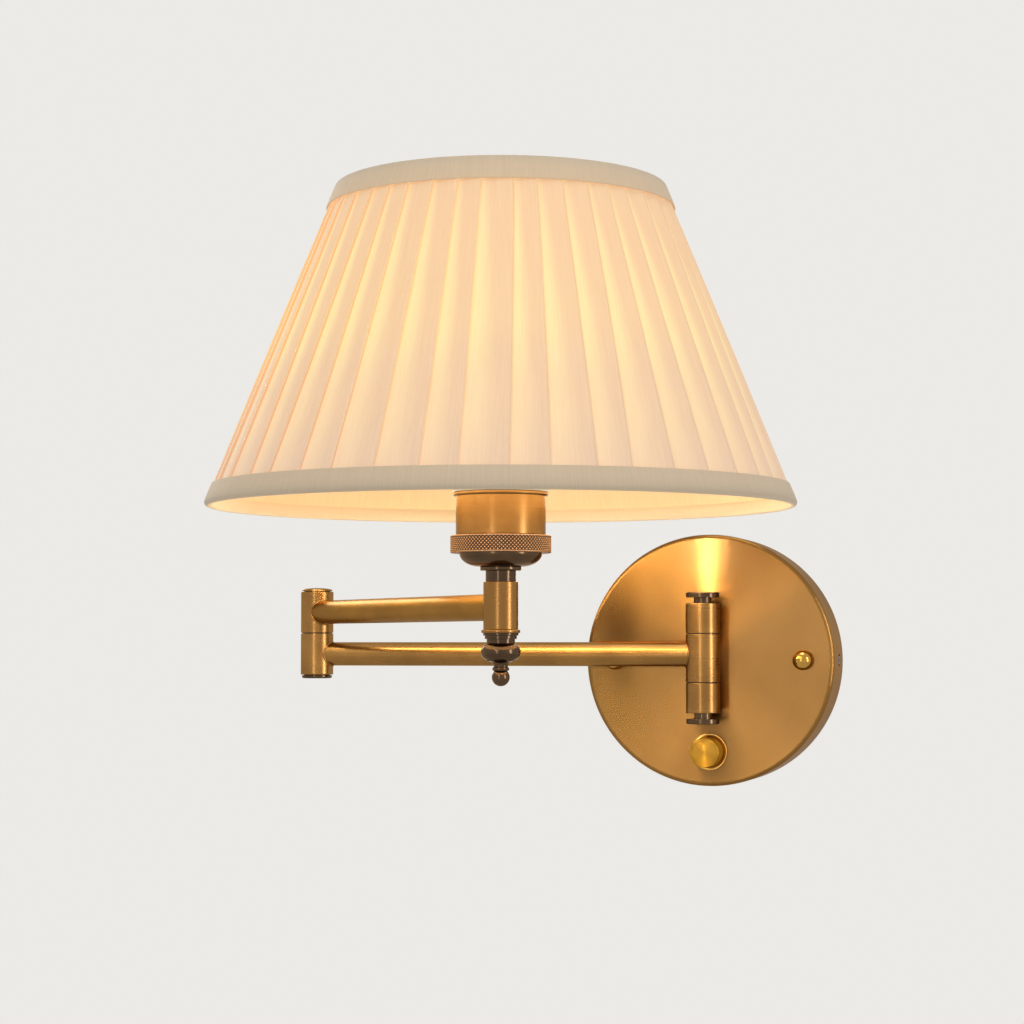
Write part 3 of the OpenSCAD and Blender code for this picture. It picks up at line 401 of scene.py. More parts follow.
def moulded(name, low, high, roughness, texture_mm):
    """Moulded plastic or baked enamel: one tone with a slow drift of a few percent, in patches of
    about 17 mm, and a fine texture texture_mm apart as relief. Real texture is about 0.05 mm
    apart, too fine to show, so it is drawn coarser."""
    m = with_nodes(bpy.data.materials.new(name))
    place = add(m, "ShaderNodeTexCoord")
    drift = add(m, "ShaderNodeTexNoise", {"Vector": (place, "Object")}, Scale=60.0, Detail=3.0)
    tone = add(m, "ShaderNodeValToRGB", {"Fac": (drift, "Fac")}, [(0.3, low), (0.7, high)])
    fine = add(m, "ShaderNodeTexNoise", {"Vector": (place, "Object")}, Scale=1.0 / (texture_mm * MM),
               Detail=2.0)
    rough = add(m, "ShaderNodeMapRange", {"Value": (fine, "Fac")}, To_Min=roughness - 0.08,
                To_Max=roughness + 0.08)
    relief = add(m, "ShaderNodeBump", {"Height": (fine, "Fac")}, Strength=0.2, Distance=0.00005)
    shader = add(m, "ShaderNodeBsdfPrincipled",
                 {"Base Color": (tone, "Color"), "Roughness": (rough, "Result"),
                  "Normal": (relief, "Normal")}, IOR=1.5)
    add(m, "ShaderNodeOutputMaterial", {"Surface": (shader, "BSDF")})
    return m


# Pressed urea resin: warm ivory, half gloss.
ivory = moulded("urea moulding, ivory", "#e6dcc4", "#efe7d3", 0.35, 0.3)
# Pressed phenolic resin: near black, dull from its spark-cut mould.
black_plastic = moulded("phenolic moulding, black", "#1d1c1b", "#262423", 0.4, 0.4)
# Injection-moulded polyamide: cool white, matt.
white_plastic = moulded("polyamide terminal block, white", "#dcdcd6", "#e9e9e4", 0.45, 0.3)
# Wire dipped and baked: off-white and glossy, with a slight orange peel.
enamel = moulded("white enamelled wire", "#e4e0d6", "#f0ede4", 0.3, 0.8)
# Extruded silicone: dark brown and dull.
flex = moulded("flex sleeve, silicone", "#3a322b", "#4a4038", 0.5, 0.4)


def bulb_glass_material():
    """Clear soda glass, blown thin: almost nothing but its own gloss, which changes a little every
    25 mm."""
    m = with_nodes(bpy.data.materials.new("clear soda glass"))
    place = add(m, "ShaderNodeTexCoord")
    streak = add(m, "ShaderNodeTexNoise", {"Vector": (place, "Object")}, Scale=40.0, Detail=2.0)
    rough = add(m, "ShaderNodeMapRange", {"Value": (streak, "Fac")}, To_Min=0.0, To_Max=0.05)
    shader = add(m, "ShaderNodeBsdfPrincipled", {"Roughness": (rough, "Result")},
                 Base_Color=linear("#fffaf0"), IOR=1.5, Transmission_Weight=1.0)
    add(m, "ShaderNodeOutputMaterial", {"Surface": (shader, "BSDF")})
    return m


def filament_material():
    """Phosphor-coated filament, alight: warm white, a little uneven every 2 mm of its length."""
    m = with_nodes(bpy.data.materials.new("phosphor-coated filament, lit"))
    place = add(m, "ShaderNodeTexCoord")
    beads = add(m, "ShaderNodeTexNoise", {"Vector": (place, "Object")}, Scale=500.0, Detail=2.0)
    glow = add(m, "ShaderNodeValToRGB", {"Fac": (beads, "Fac")}, [(0.3, "#ffc46a"), (0.7, "#ffe2a6")])
    shader = add(m, "ShaderNodeBsdfPrincipled", {"Emission Color": (glow, "Color")},
                 Base_Color=linear("#e8b25a"), Roughness=0.6, Emission_Strength=6.0)
    add(m, "ShaderNodeOutputMaterial", {"Surface": (shader, "BSDF")})
    return m


clear_glass = bulb_glass_material()
lit_filament = filament_material()


# Cloth.

# A wave texture at scale 1 repeats every 2 pi / 20 of its input.
WAVE = 2 * math.pi / 20


def lit_cloth(name, base, weave_mm, low_z, high_z, glow_stops, mask=None, masked_stops=None):
    """Cloth with the bulb's light coming through it. Its tone varies from thread to thread, every
    0.7 mm across and 24 mm along, and the weave is relief from two crossed wave patterns on the
    piece's UV map, weave_mm apart: real threads are about 0.2 mm apart, too fine to show, so they
    are drawn coarser. The glow is a colour that changes with height from low_z to high_z. Where
    the attribute that mask names is 1 it takes masked_stops."""
    m = with_nodes(bpy.data.materials.new(name))
    place = add(m, "ShaderNodeTexCoord")
    split = add(m, "ShaderNodeSeparateXYZ", {"Vector": (place, "Object")})
    warp, weft = [add(m, "ShaderNodeTexWave", {"Vector": (place, "UV")}, wave_type="BANDS",
                      bands_direction=way, Scale=WAVE / weave_mm, Distortion=0.6, Detail=1.0)
                  for way in "XY"]
    squeeze = add(m, "ShaderNodeMapping", {"Vector": (place, "UV")}, Scale=(1.0, 0.03, 1.0))
    slub = add(m, "ShaderNodeTexNoise", {"Vector": (squeeze, "Vector")}, Scale=1.4, Detail=3.0,
               Roughness=0.65)
    crossed = add(m, "ShaderNodeMath", {0: (warp, "Fac"), 1: (weft, "Fac")}, operation="ADD")
    height = add(m, "ShaderNodeMath", {0: (crossed, "Value"), 1: (slub, "Fac")}, operation="ADD")
    relief = add(m, "ShaderNodeBump", {"Height": (height, "Value")}, Strength=0.25, Distance=0.00012)
    tone = add(m, "ShaderNodeValToRGB", {"Fac": (slub, "Fac")}, [(0.3, base[0]), (0.7, base[1])])
    level = add(m, "ShaderNodeMapRange", {"Value": (split, "Z")}, From_Min=low_z * MM,
                From_Max=high_z * MM)
    glow = (add(m, "ShaderNodeValToRGB", {"Fac": (level, "Result")}, glow_stops, "EASE"), "Color")
    if mask:
        other = add(m, "ShaderNodeValToRGB", {"Fac": (level, "Result")}, masked_stops, "EASE")
        share = add(m, "ShaderNodeAttribute", attribute_name=mask)
        glow = (add(m, "ShaderNodeMix", {0: (share, "Fac"), 6: glow, 7: (other, "Color")},
                    data_type="RGBA"), 2)
    uneven = add(m, "ShaderNodeMapRange", {"Value": (slub, "Fac")}, To_Min=0.95, To_Max=1.05)
    shader = add(m, "ShaderNodeBsdfPrincipled",
                 {"Base Color": (tone, "Color"), "Normal": (relief, "Normal"), "Emission Color": glow,
                  "Emission Strength": (uneven, "Result")}, Roughness=0.85, Sheen_Weight=0.15,
                 Sheen_Roughness=0.5, IOR=1.45, Specular_IOR_Level=0.25)
    add(m, "ShaderNodeOutputMaterial", {"Surface": (shader, "BSDF")})
    return m


# Soft tissue-weight lawn, cream: one layer glows yellow, three layers go a paler peach, and the creases at
# the folds take painted shade.
pleat_cloth = lit_cloth(
    "pleated cotton lawn, cream, lit from behind", ("#b9a284", "#c2ab8d"), 0.6, 66, 203,
    [(0.0, "#b99c82"), (0.25, "#c7a97f"), (0.5, "#cfba7e"), (0.7, "#ceb87e"), (1.0, "#c4a077")],
    "layers",
    [(0.0, "#a78c7b"), (0.3, "#b49175"), (0.55, "#be986f"), (0.8, "#bd956e"), (1.0, "#b79370")])
# Bias-cut band, several layers thick, so little light comes through. Its inner fold faces the bulb.
band_cloth = lit_cloth(
    "bias-cut cotton band, cream", ("#bba88f", "#c1af96"), 0.6, 65, 203,
    [(0.0, "#3a3733"), (0.05, "#665949"), (0.92, "#7c654b"), (0.96, "#756450"), (1.0, "#58524a")],
    "inside", [(0.0, "#b08f60"), (1.0, "#b08f60")])
# Laminated lining, smooth: it catches the bulb's light on its inside.
lining_cloth = lit_cloth(
    "laminated lining, cream", ("#cbb08a", "#d3b993"), 0.5, 66, 203,
    [(0.0, "#b09062"), (0.5, "#b89a6a"), (1.0, "#a88a5c")])


# Wall plate and its fittings.

# CAD nodes that keep their own mesh.
for material, names in (
        (plate_brass, "back_plate"),
        (zinc, "side_set_screw mounting_strap mounting_studs stud_lock_nuts terminal_screws"
               " bracket_nuts dimmer_spindle elbow_nipple elbow_lock_nuts post_nipple nipple_nut"
               " bulb_cap"),
        (polished, "earth_screw screw_shell centre_contact"),
        (bronze, "pivot_axle pivot_washers elbow_washer"),
        (white_plastic, "terminal_block"),
        (black_plastic, "dimmer_body"),
        (flex, "lower_arm_flex upper_arm_flex"),
        (ivory, "lampholder shade_clamp_ring"),
        (enamel, "fitter_ring fitter_arms bottom_ring top_ring"),
        (clear_glass, "bulb_stem"),
        (lit_filament, "bulb_filaments")):
    for name in names.split():
        node = frame["nodes"][name]
        node.data.materials.clear()
        node.data.materials.append(material)


def ball_nut(x):
    """A collar with a ball on it; the ball is an arc of a 9.4 mm circle centred 3 mm out."""
    ball = arc((0, 3.0), 4.7, -0.72, math.pi / 2, 26)
    # Only the part above the collar shows.
    ball = ball[ball[:, 1] > 0.86]
    foot = eased([(0, 0, 0), (4.2, 0, 0.12), (4.2, 0.8, 0.25), (3.9, 0.8, 0)])
    return outward(spin(np.vstack([foot, ball[:-1], [[0, 7.7]]]), False, 72), x, 0)


NUT_X = 45.5
put_piece("ball_nuts_turned", joined(ball_nut(-NUT_X), ball_nut(NUT_X)), "wall_mount", polished,
          "ball_nuts")


def pivot_outer(base, way):
    """An outer knuckle with its stem to the plate and the bead of solder between them. It stands
    on base, or hangs from it where way is -1."""
    bore, low, high, stem_r, stem_from_axis = 4.22, 0.25, 14.4, 5.0, 7.0
    centre = base + way * (low + high) / 2
    knuckle = turned([(bore, low, 0.08), (KNUCKLE_R, low, 0.2), (KNUCKLE_R, high, 0.5), (bore, high, 0.1)])
    stem = turned([(0, 0, 0), (stem_r, 0, 0), (stem_r, 6.2, 0), (stem_r, 7.2, 0), (0, 7.2, 0)], False, 72)
    return joined((upright if way > 0 else hanging)(knuckle, PIVOT, base),
                  sideways(stem, (PIVOT[0], PIVOT[1] + stem_from_axis), centre, math.pi / 2),
                  sideways(solder_bead(stem_r, KNUCKLE_R), PIVOT, centre, math.pi / 2))


put_piece("pivot_upper_turned", pivot_outer(UPPER_BRACKET_Z, 1), "wall_mount", satin_upright,
          "pivot_upper_bracket")
put_piece("pivot_lower_turned", pivot_outer(LOWER_BRACKET_Z, -1), "wall_mount", satin_upright,
          "pivot_lower_bracket")

head = turned([(0, -5, 0), (2.78, -5, 0.1), (2.78, 0, 0), (7.85, 0, 0.2), (7.85, 2.4, 0.45), (0, 2.4, 0)],
              False)
put_piece("pivot_top_head_turned", upright(head, PIVOT, TOP_HEAD_Z), "wall_mount", bronze,
          "pivot_top_head")
put_piece("pivot_bottom_head_turned", hanging(head, PIVOT, BOTTOM_HEAD_Z), "wall_mount", bronze,
          "pivot_bottom_head")

nut = turned([(3.52, 0, 0), (8.8, 0, 0.1), (8.8, 1, 0.3), (3.52, 1, 0)])
put_piece("dimmer_nut_turned", outward(nut, 0, DIMMER_Z), "wall_mount", polished,
          "dimmer_nut")


def dimmer_knob():
    """A round knob, hollow at its back. Its side is cut by 64 shallow flutes, deep (0.5 - 0.5
    cos 64 t), between two plain rings, and its face has a fine turned groove near the edge."""
    radius, flutes, deep, sides = 7.0, 64, 0.16, 512
    profile = eased([(0, 8.3, 0), (3.9, 8.3, 0), (3.9, 0, 0), (radius, 0, 0.3), (radius, 1.2, 0),
                     (radius, 1.5, 0), (radius, 5, 0), (radius, 9.2, 0), (radius, 9.5, 0),
                     (radius, 10.8, 0.5), (6.1, 10.8, 0), (5.98, 10.68, 0), (5.86, 10.8, 0),
                     (3, 10.8, 0), (0, 10.8, 0)])
    r, h = profile[1:-1, :1], profile[1:-1, 1:]
    fluted = (h > 1.3) & (h < 9.4) & (r > radius - 0.1)
    return spin(profile, False, sides, deep * fluted * (0.5 - 0.5 * np.cos(flutes * full_turn(sides))))


put_piece("dimmer_knob_turned", outward(dimmer_knob(), 0, DIMMER_Z, PLATE_FRONT + 1.2), "dimmer_knob",
          knob_brass, "dimmer_knob", sharp=35)


# Arms.

def arm_tube(axis, far_axis, height, near_in, far_in):
    """A drawn tube, 11.5 mm across with a 1 mm wall, from near_in mm off its first axis to far_in
    mm off its second: a ring profile carried along the line between them."""
    along = math.atan2(far_axis[1] - axis[1], far_axis[0] - axis[0])
    length = math.dist(axis, far_axis)
    profile = np.array([[TUBE_BORE, near_in], [TUBE_R, near_in], [TUBE_R, length / 2],
                        [TUBE_R, length - far_in], [TUBE_BORE, length - far_in], [TUBE_BORE, length / 2]])
    return sideways(spin(profile, True, 128), axis, height, along)


put_piece("lower_tube_drawn", arm_tube(PIVOT, ELBOW, LOWER_ARM_Z, 4.98, 5.3), "lower_arm", satin_lower,
          "lower_arm_tube", sharp=40)
put_piece("upper_tube_drawn", arm_tube(ELBOW, POST, UPPER_ARM_Z, 5.3, 4.4), "upper_arm", satin_upper,
          "upper_arm_tube", sharp=40)

middle = turned([(4.25, 0, 0.08), (KNUCKLE_R, 0, 0.2), (KNUCKLE_R, 22.5, 0.2), (4.25, 22.5, 0.08)])
bead = solder_bead(TUBE_R, KNUCKLE_R)
put_piece("pivot_middle_turned", joined(upright(middle, PIVOT, MIDDLE_KNUCKLE_Z),
                                        sideways(bead, PIVOT, LOWER_ARM_Z, math.pi)),
          "lower_arm", satin_upright, "pivot_middle_knuckle")


def elbow_knuckle(bore):
    """Half of the elbow: a cup whose floor, 4 mm thick, is bored for the nipple."""
    return turned([(bore, 0.25, 0.05), (KNUCKLE_R, 0.25, 0.15), (KNUCKLE_R, ELBOW_HALF, 0.3),
                   (6.4, ELBOW_HALF, 0.1), (6.4, 4.0, 0), (bore, 4.0, 0)])


put_piece("elbow_lower_turned", joined(hanging(elbow_knuckle(5.02), ELBOW, ELBOW_SEAM_Z),
                                       sideways(bead, ELBOW, LOWER_ARM_Z, 0)),
          "lower_arm", satin_upright, "elbow_lower_knuckle")
put_piece("elbow_upper_turned", joined(upright(elbow_knuckle(5.05), ELBOW, ELBOW_SEAM_Z),
                                       sideways(bead, ELBOW, UPPER_ARM_Z, -FOLD)),
          "upper_arm", satin_upright, "elbow_upper_knuckle")

# Both caps push into the elbow by this foot.
CAP_FOOT = [(0, -2.4, 0), (6.38, -2.4, 0.2), (6.38, 0.3, 0), (7.4, 0.3, 0.1)]
flat_cap = turned(CAP_FOOT + [(7.4, 1.8, 0.8), (0, 1.8, 0)], False)
put_piece("elbow_bottom_cap_turned", hanging(flat_cap, ELBOW, ELBOW_SEAM_Z - ELBOW_HALF),
          "lower_arm", bronze, "elbow_bottom_cap")


def domed_cap():
    """A cap with a low dome: at angle a its radius is 7.4 cos a and its height 0.8 + 1.1 sin a."""
    dome = arc((0, 0.8), (7.4, 1.1), 0.06, math.pi / 2, 14)
    foot = eased(CAP_FOOT + [(7.4, 0.8, 0)])
    return spin(np.vstack([foot[:-1], dome]), False)


put_piece("elbow_top_cap_turned", upright(domed_cap(), ELBOW, ELBOW_SEAM_Z + ELBOW_HALF),
          "upper_arm", satin_upright, "elbow_top_cap")

post = turned([(4.05, 13.7, 0.08), (POST_KNUCKLE_R, 13.7, 0.2), (POST_KNUCKLE_R, 33.9, 0.2),
               (4.05, 33.9, 0.08)])
put_piece("post_knuckle_turned", joined(upright(post, POST),
                                        sideways(solder_bead(TUBE_R, POST_KNUCKLE_R), POST,
                                                 UPPER_ARM_Z, math.pi - FOLD)),
          "upper_arm", satin_upright, "post_knuckle")


# Lamp head.

# Heights on the post are counted from the plate's centre.

def on_post(name, shell, material, node):
    """A piece of the lamp head, on the post's axis."""
    return put_piece(name, upright(shell, POST), "lamp_head", material, node)


def knob_nut():
    """The oblate knob nut: its rim is a half circle of radius 3.65 round its middle height."""
    rim = arc((4.85, 4.2), 3.65, -math.pi / 2, math.pi / 2, 25)
    return spin(np.vstack([[[POST_BORE, 0.6]], rim, [[POST_BORE, 7.8]]]), True)


def finial():
    """A hollowed foot under the knob, a thin neck with a ring, and a ball of radius 3.8."""
    foot = arc((6.2, -1.85), (3.2, 2.4), math.pi / 2, math.pi, 12)
    ring = eased([(3.4, -2.05, 0.1), (3.6, -2.85, 0.3), (3.4, -3.65, 0.1), (2.6, -3.85, 0.1)], 4)
    ball = arc((0, -6.45), 3.8, math.pi / 2 - 0.75, -math.pi / 2, 30)
    return spin(np.vstack([[[0, 0.55]], foot, ring, ball])[::-1], False)


def bowl():
    """The bowl: a quarter ellipse from the washer's edge (8.75) out to 17.6 mm, then a skirt."""
    outer = arc((8.75, 46.05), (8.85, 5.7), -math.pi / 2, 0, 18)
    inner = arc((7.55, 46.05), (8.85, 4.5), -math.pi / 2, 0, 18)
    return spin(np.vstack([[[POST_BORE, 40.35]], outer, [[17.6, 49.7], [16.4, 49.7]], inner[::-1],
                           [[POST_BORE, 41.55]]]), True)


def knurled_collar():
    """A ring with a diamond knurl, and how dark each of its points is painted, as painted shade in
    the grooves. Two sets of 84 slanting grooves cross: with w = 84 t / 2 pi, each set's depth is a
    triangle wave of w plus or minus height / pitch, and the surface lies in by 0.5 mm times the
    square of the deeper of the two. The knurl fades out at its two ends, and a quarter circle of
    0.5 mm rounds each end."""
    diamonds, pitch, sides, radius, deep, rounding = 84, 1.6, 840, 21.45, 0.5, 0.5
    bottom, knurl_low, knurl_high, top = 46.05, 46.55, 53.05, 53.55
    h = np.concatenate([np.linspace(bottom, knurl_low, 5)[:-1], np.linspace(knurl_low, knurl_high, 53),
                        np.linspace(knurl_high, top, 5)[1:]])[:, None]
    w = diamonds * full_turn(sides)[None, :] / (2 * math.pi)
    plus, minus = [np.abs((w + way * h / pitch) % 1.0 - 0.5) * 2 for way in (1, -1)]
    inside = np.clip(np.minimum(h - knurl_low, knurl_high - h) / 0.25, 0, 1)
    edge = np.clip(np.maximum(knurl_low - h, h - knurl_high), 0, rounding)
    depth = inside * np.maximum(plus, minus) ** 2
    bore = np.array([[17.62, top], [17.62, bottom]])
    profile = np.vstack([np.hstack([np.full_like(h, radius), h]), bore])
    plain = np.zeros((len(bore), sides))
    cut = np.vstack([deep * depth + rounding - np.sqrt(rounding ** 2 - edge ** 2), plain])
    # Painted shade in the grooves: a point goes darker from a fifth of the full depth and is fully dark at
    # 0.7 of it.
    brown = np.vstack([np.clip(depth * 2.0 - 0.4, 0, 1), plain])
    return spin(profile, True, sides, cut), brown.ravel()


# The flange is turned like the knuckle above it and takes the same satin brass.
on_post("post_flange_turned", turned([(POST_BORE, 12.25, 0.05), (8.25, 12.25, 0.4), (8.25, 13.65, 0.4),
                                      (POST_BORE, 13.65, 0.05)]),
        satin_upright, "post_flange")
on_post("stepped_collar_turned", turned([(POST_BORE, 7.85, 0), (6, 7.85, 0.1), (6, 9.742, 0.12),
                                         (6.8, 9.742, 0.12), (6.8, 11.194, 0.12), (7.5, 11.194, 0.12),
                                         (7.5, 12.25, 0.1), (POST_BORE, 12.25, 0)]),
        bronze, "stepped_collar")
on_post("knob_nut_turned", knob_nut(), bronze, "knob_nut")
on_post("finial_turned", finial(), bronze, "finial")
on_post("post_neck_turned", turned([(POST_BORE, 33.95, 0), (6.45, 33.95, 0.1), (6.45, 38.65, 0.1),
                                    (POST_BORE, 38.65, 0)]), bronze, "post_neck")
on_post("post_washer_turned", turned([(POST_BORE, 38.65, 0), (8.75, 38.65, 0.5), (8.75, 40.35, 0.3),
                                      (POST_BORE, 40.35, 0)]), bronze, "post_washer")
on_post("bowl_spun", bowl(), bronze, "bowl")
# The collar's points carry its painted groove shade for the knurled material.
collar, brown = knurled_collar()
point_values(on_post("knurled_collar_cut", collar, knurled, "knurled_collar"),
             "groove", brown)
on_post("socket_cup_spun", turned([(16.6, 49.9, 0), (17.6, 49.9, 0.1), (17.6, 53.6, 0), (19.1, 53.6, 0.3),
                                   (19.1, 70.35, 0.25), (20.2, 70.35, 0.55), (20.2, 71.95, 0.45),
                                   (18.1, 71.95, 0.1), (18.1, 54.6, 0.2), (16.6, 54.6, 0)]),
        satin_upright, "socket_cup")


# Shade.

# The two wires of the shade's frame as (radius, height), and the wall's directions between them.
BOTTOM_RING = np.array([123.35, 66.9])
TOP_RING = np.array([69.35, 200.8])
SLANT = float(np.linalg.norm(TOP_RING - BOTTOM_RING))
UP = (TOP_RING - BOTTOM_RING) / SLANT
OUT = np.array([UP[1], -UP[0]])
HEM = 1.3                           # the cloth and the lining stop this far short of the wires
PLEATS = 44
PLEAT_CUT = 26.0                    # cloth that one pleat takes
FACING = math.radians(-73.6)        # where the first pleat stands


def wall_at(v, u):
    """Radius and height of the point v mm up the shade's slope and u mm out from the wires' line."""
    v, u = np.asarray(v)[..., None], np.asarray(u)[..., None]
    return BOTTOM_RING + v * UP + u * OUT


def pleated_sheet():
    """One long strip laid in 44 knife pleats, as a shell, its UV and its layers. Along a pleat the
    cloth runs out to the fold, back under itself and on again beneath: its place in the pitch
    goes 0 to 1, 1 to 1 - d and 1 - d to 1, at three depths, with a tight turn at each fold.
    d = (cut / pitch - 1) / 2, so that each pleat takes the same cloth at every height, and pleats
    overlap more at the top. layers dims the cloth's glow: it is 0 where one layer lies and 1 where
    three do, 0.5 at the fold's outer turn and 0.9 from there to where the cloth comes out again,
    which paints shade into the creases."""
    rows, inmost, thickness, belly = 40, -0.55, 1.6, 0.25
    lean_low, lean_high = 0.57, 3.05
    v = np.linspace(HEM, SLANT - HEM, rows)
    pitch = wall_at(v, 0.5)[:, 0] * 2 * math.pi / PLEATS
    overlap = np.clip((PLEAT_CUT / pitch - 1) / 2, 0.1, 0.86)[:, None]
    face = np.linspace(0.0, 1.0, 15)[None]
    turn = np.array([[0.0, 0.012, 0.0]])
    back = np.array([[0.9, 0.55, 0.2]])
    under = np.array([[0.15, 0.5, 0.85]])
    ones = np.ones_like(overlap)
    place = np.hstack([face * ones, 1 + turn * ones, 1 - overlap * (1 - back),
                       1 - overlap - turn * ones, 1 - overlap * (1 - under)])
    depth = np.hstack([0.12 + 0.78 * face ** 0.8, [[0.88, 0.78, 0.66]], 0.35 + 0.3 * back,
                       [[0.3, 0.2, 0.1]], 0.06 + 0.03 * under])
    single = 1 - overlap
    ramp = np.clip((face - 0.25 * single) / (0.95 * single), 0, 1)
    # Painted shade: the turn of each fold and the cloth tucked behind it glow less than their layers alone
    # would give.
    layers = np.hstack([ramp * ramp * (3 - 2 * ramp), np.full((rows, 3), 0.5), np.full((rows, 9), 0.9)])
    # As in pleats laid by hand, each fold stands a little off its even place, and all of them lean
    # a little more at the top than at the bottom.
    number = np.arange(PLEATS)
    share = (v / SLANT)[:, None]
    shift = (0.13 * np.sin(number * 2.4 + 0.7) * np.cos(number * 5.1) * (1 - share)
             + 0.15 * np.sin(number * 3.7 + 2.1) * np.cos(number * 1.9) * share)
    start = number + shift
    width = number + 1 + np.roll(shift, -1, axis=1) - start
    lean = lean_low + (lean_high - lean_low) * share
    angle = (start[:, :, None] + place[:, None, :] * width[:, :, None]) * 2 * math.pi / PLEATS
    angle = angle + FACING + np.radians(lean)[:, :, None]
    # The folds stand out most half way up.
    swell = belly * np.sin(math.pi * share)[:, :, None]
    u = inmost + (thickness + swell) * depth[:, None, :] + 0 * angle
    at = wall_at(v[:, None, None], u)
    points = np.stack([at[..., 0] * np.cos(angle), at[..., 0] * np.sin(angle), at[..., 1]], axis=-1)
    across = place.shape[1]
    run = (number[None, :, None] + np.linspace(0, 1, across + 1)[:-1]) * PLEAT_CUT + 0 * angle
    slant = v[:, None, None] + 0 * angle
    shell = points.reshape(-1, 3), [grid_faces(rows, PLEATS * across, False)]
    return shell, run.ravel(), slant.ravel(), (layers[:, None, :] + 0 * angle).ravel()


shell, run, slant, layers = pleated_sheet()
cloth = on_post("pleated_cloth", shell, pleat_cloth, "pleated_fabric")
mapped(cloth, run, slant)
point_values(cloth, "layers", layers)


def band_profile(ring, up, outer_leg):
    """A strip 0.5 mm thick folded round the ring's wire: a half circle of radius 1.65 about the
    wire, a long leg outside and a 5 mm one inside, both along the wall. The outer leg swells by
    0.12 mm near its fold and closes on the pleats at its edge."""
    outside, inside, inner_leg = 1.65, 1.15, 5.0
    fold = arc((0, 0), 1.0, math.pi, 2 * math.pi, 20)
    leg = np.linspace(0, 1, 12)[1:]
    swell = 0.12 * np.sin(math.pi * leg) * (1 - leg * 0.4)
    flat = np.vstack([
        outside * fold, np.stack([outside + swell, outer_leg * leg], axis=-1),
        [[1.6, outer_leg + 0.16], [1.35, outer_leg + 0.2], [inside, outer_leg]],
        np.stack([inside + swell[::-1][1:], outer_leg * leg[::-1][1:]], axis=-1),
        inside * fold[::-1], [[-inside, inner_leg], [-outside, inner_leg]]])
    return ring + flat[:, :1] * OUT + flat[:, 1:] * up


def band(name, node, ring, way, outer_leg):
    """A band round a ring: its folded strip spun about the post, with its UV in mm. way is 1 where
    its legs run up the wall and -1 where they run down. inside is 1 on the leg behind the wall."""
    sides = 256
    profile = band_profile(ring, way * UP, outer_leg)
    points, blocks = spin(profile, True, sides)
    piece = on_post(name, (points, [block[:, ::way] for block in blocks]), band_cloth, node)
    step = np.linalg.norm(np.diff(profile, axis=0, prepend=profile[:1]), axis=1)
    mapped(piece, np.tile(full_turn(sides) * float(profile[:, 0].mean()), len(profile)),
           np.repeat(np.cumsum(step), sides))
    point_values(piece, "inside", np.repeat(np.clip(0.2 - (profile - ring) @ OUT, 0, 1), sides))
    return piece


bottom_band = band("bottom_band_cloth", "bottom_band", BOTTOM_RING, 1, 7.6)
top_band = band("top_band_cloth", "top_band", TOP_RING, -1, 9.43)


def lining():
    """The lining's cone with a lap seam: over about 6 mm of its girth the inner face stands
    further in. With it comes its UV in mm, by the girth half way up."""
    outer_face, inner_face, lap, seam_at, mid_r, sides = -0.66, -1.09, 0.28, 4.55, 95, 360
    t = full_turn(sides)
    v = np.linspace(HEM, SLANT - HEM, 24)
    seam = lap * (np.abs((t - seam_at + math.pi) % (2 * math.pi) - math.pi) < 0.03)
    profile = np.vstack([wall_at(v, outer_face), wall_at(v, inner_face)[::-1]])
    inside = np.repeat([0.0, 1.0], len(v))[:, None]
    return (spin(profile, True, sides, seam * inside), np.tile(t * mid_r, len(profile)),
            np.repeat(np.concatenate([v, v[::-1]]), sides))


shell, u, v = lining()
lining_cone = put_piece("lining_cone", upright(shell, POST), "lamp_head", lining_cloth,
                        "lining", sharp=30)
mapped(lining_cone, u, v)


# Bulb.

def bulb_wall(inset):
    """A face of the pear-shaped glass, inset mm within its outside: a neck, a straight shoulder
    that is tangent to the ball, and the ball up to its pole."""
    ball_r, neck_r = 30.0 - inset, 12.6 - inset
    neck_bottom, neck_top, centre = 84.0, 90.0, 137.0
    reach = math.hypot(neck_r, neck_top - centre)
    touch = math.atan2(neck_top - centre, neck_r) + math.acos(ball_r / reach)
    ball = arc((0, centre), ball_r, touch, math.pi / 2, 40)
    share = np.linspace(0, 1, 8)[:-1, None]
    shoulder = np.array([[neck_r, neck_top]]) * (1 - share) + ball[0] * share
    return np.vstack([[[neck_r, neck_bottom]], shoulder, ball])


# Both faces as one shell, 0.8 mm apart and joined by a flat ring at the neck.
faces = np.vstack([bulb_wall(0.8)[::-1], bulb_wall(0.0)])
glass = on_post("bulb_glass_blown", spin(faces, False), clear_glass, "bulb_glass")
# Clear glass and what hangs in it throw no shadow of the bulb's own light.
for piece in (glass, frame["nodes"]["bulb_stem"], frame["nodes"]["bulb_filaments"]):
    piece.visible_shadow = False


# Stage, lights and view.

BACKGROUND = "#eceae6"


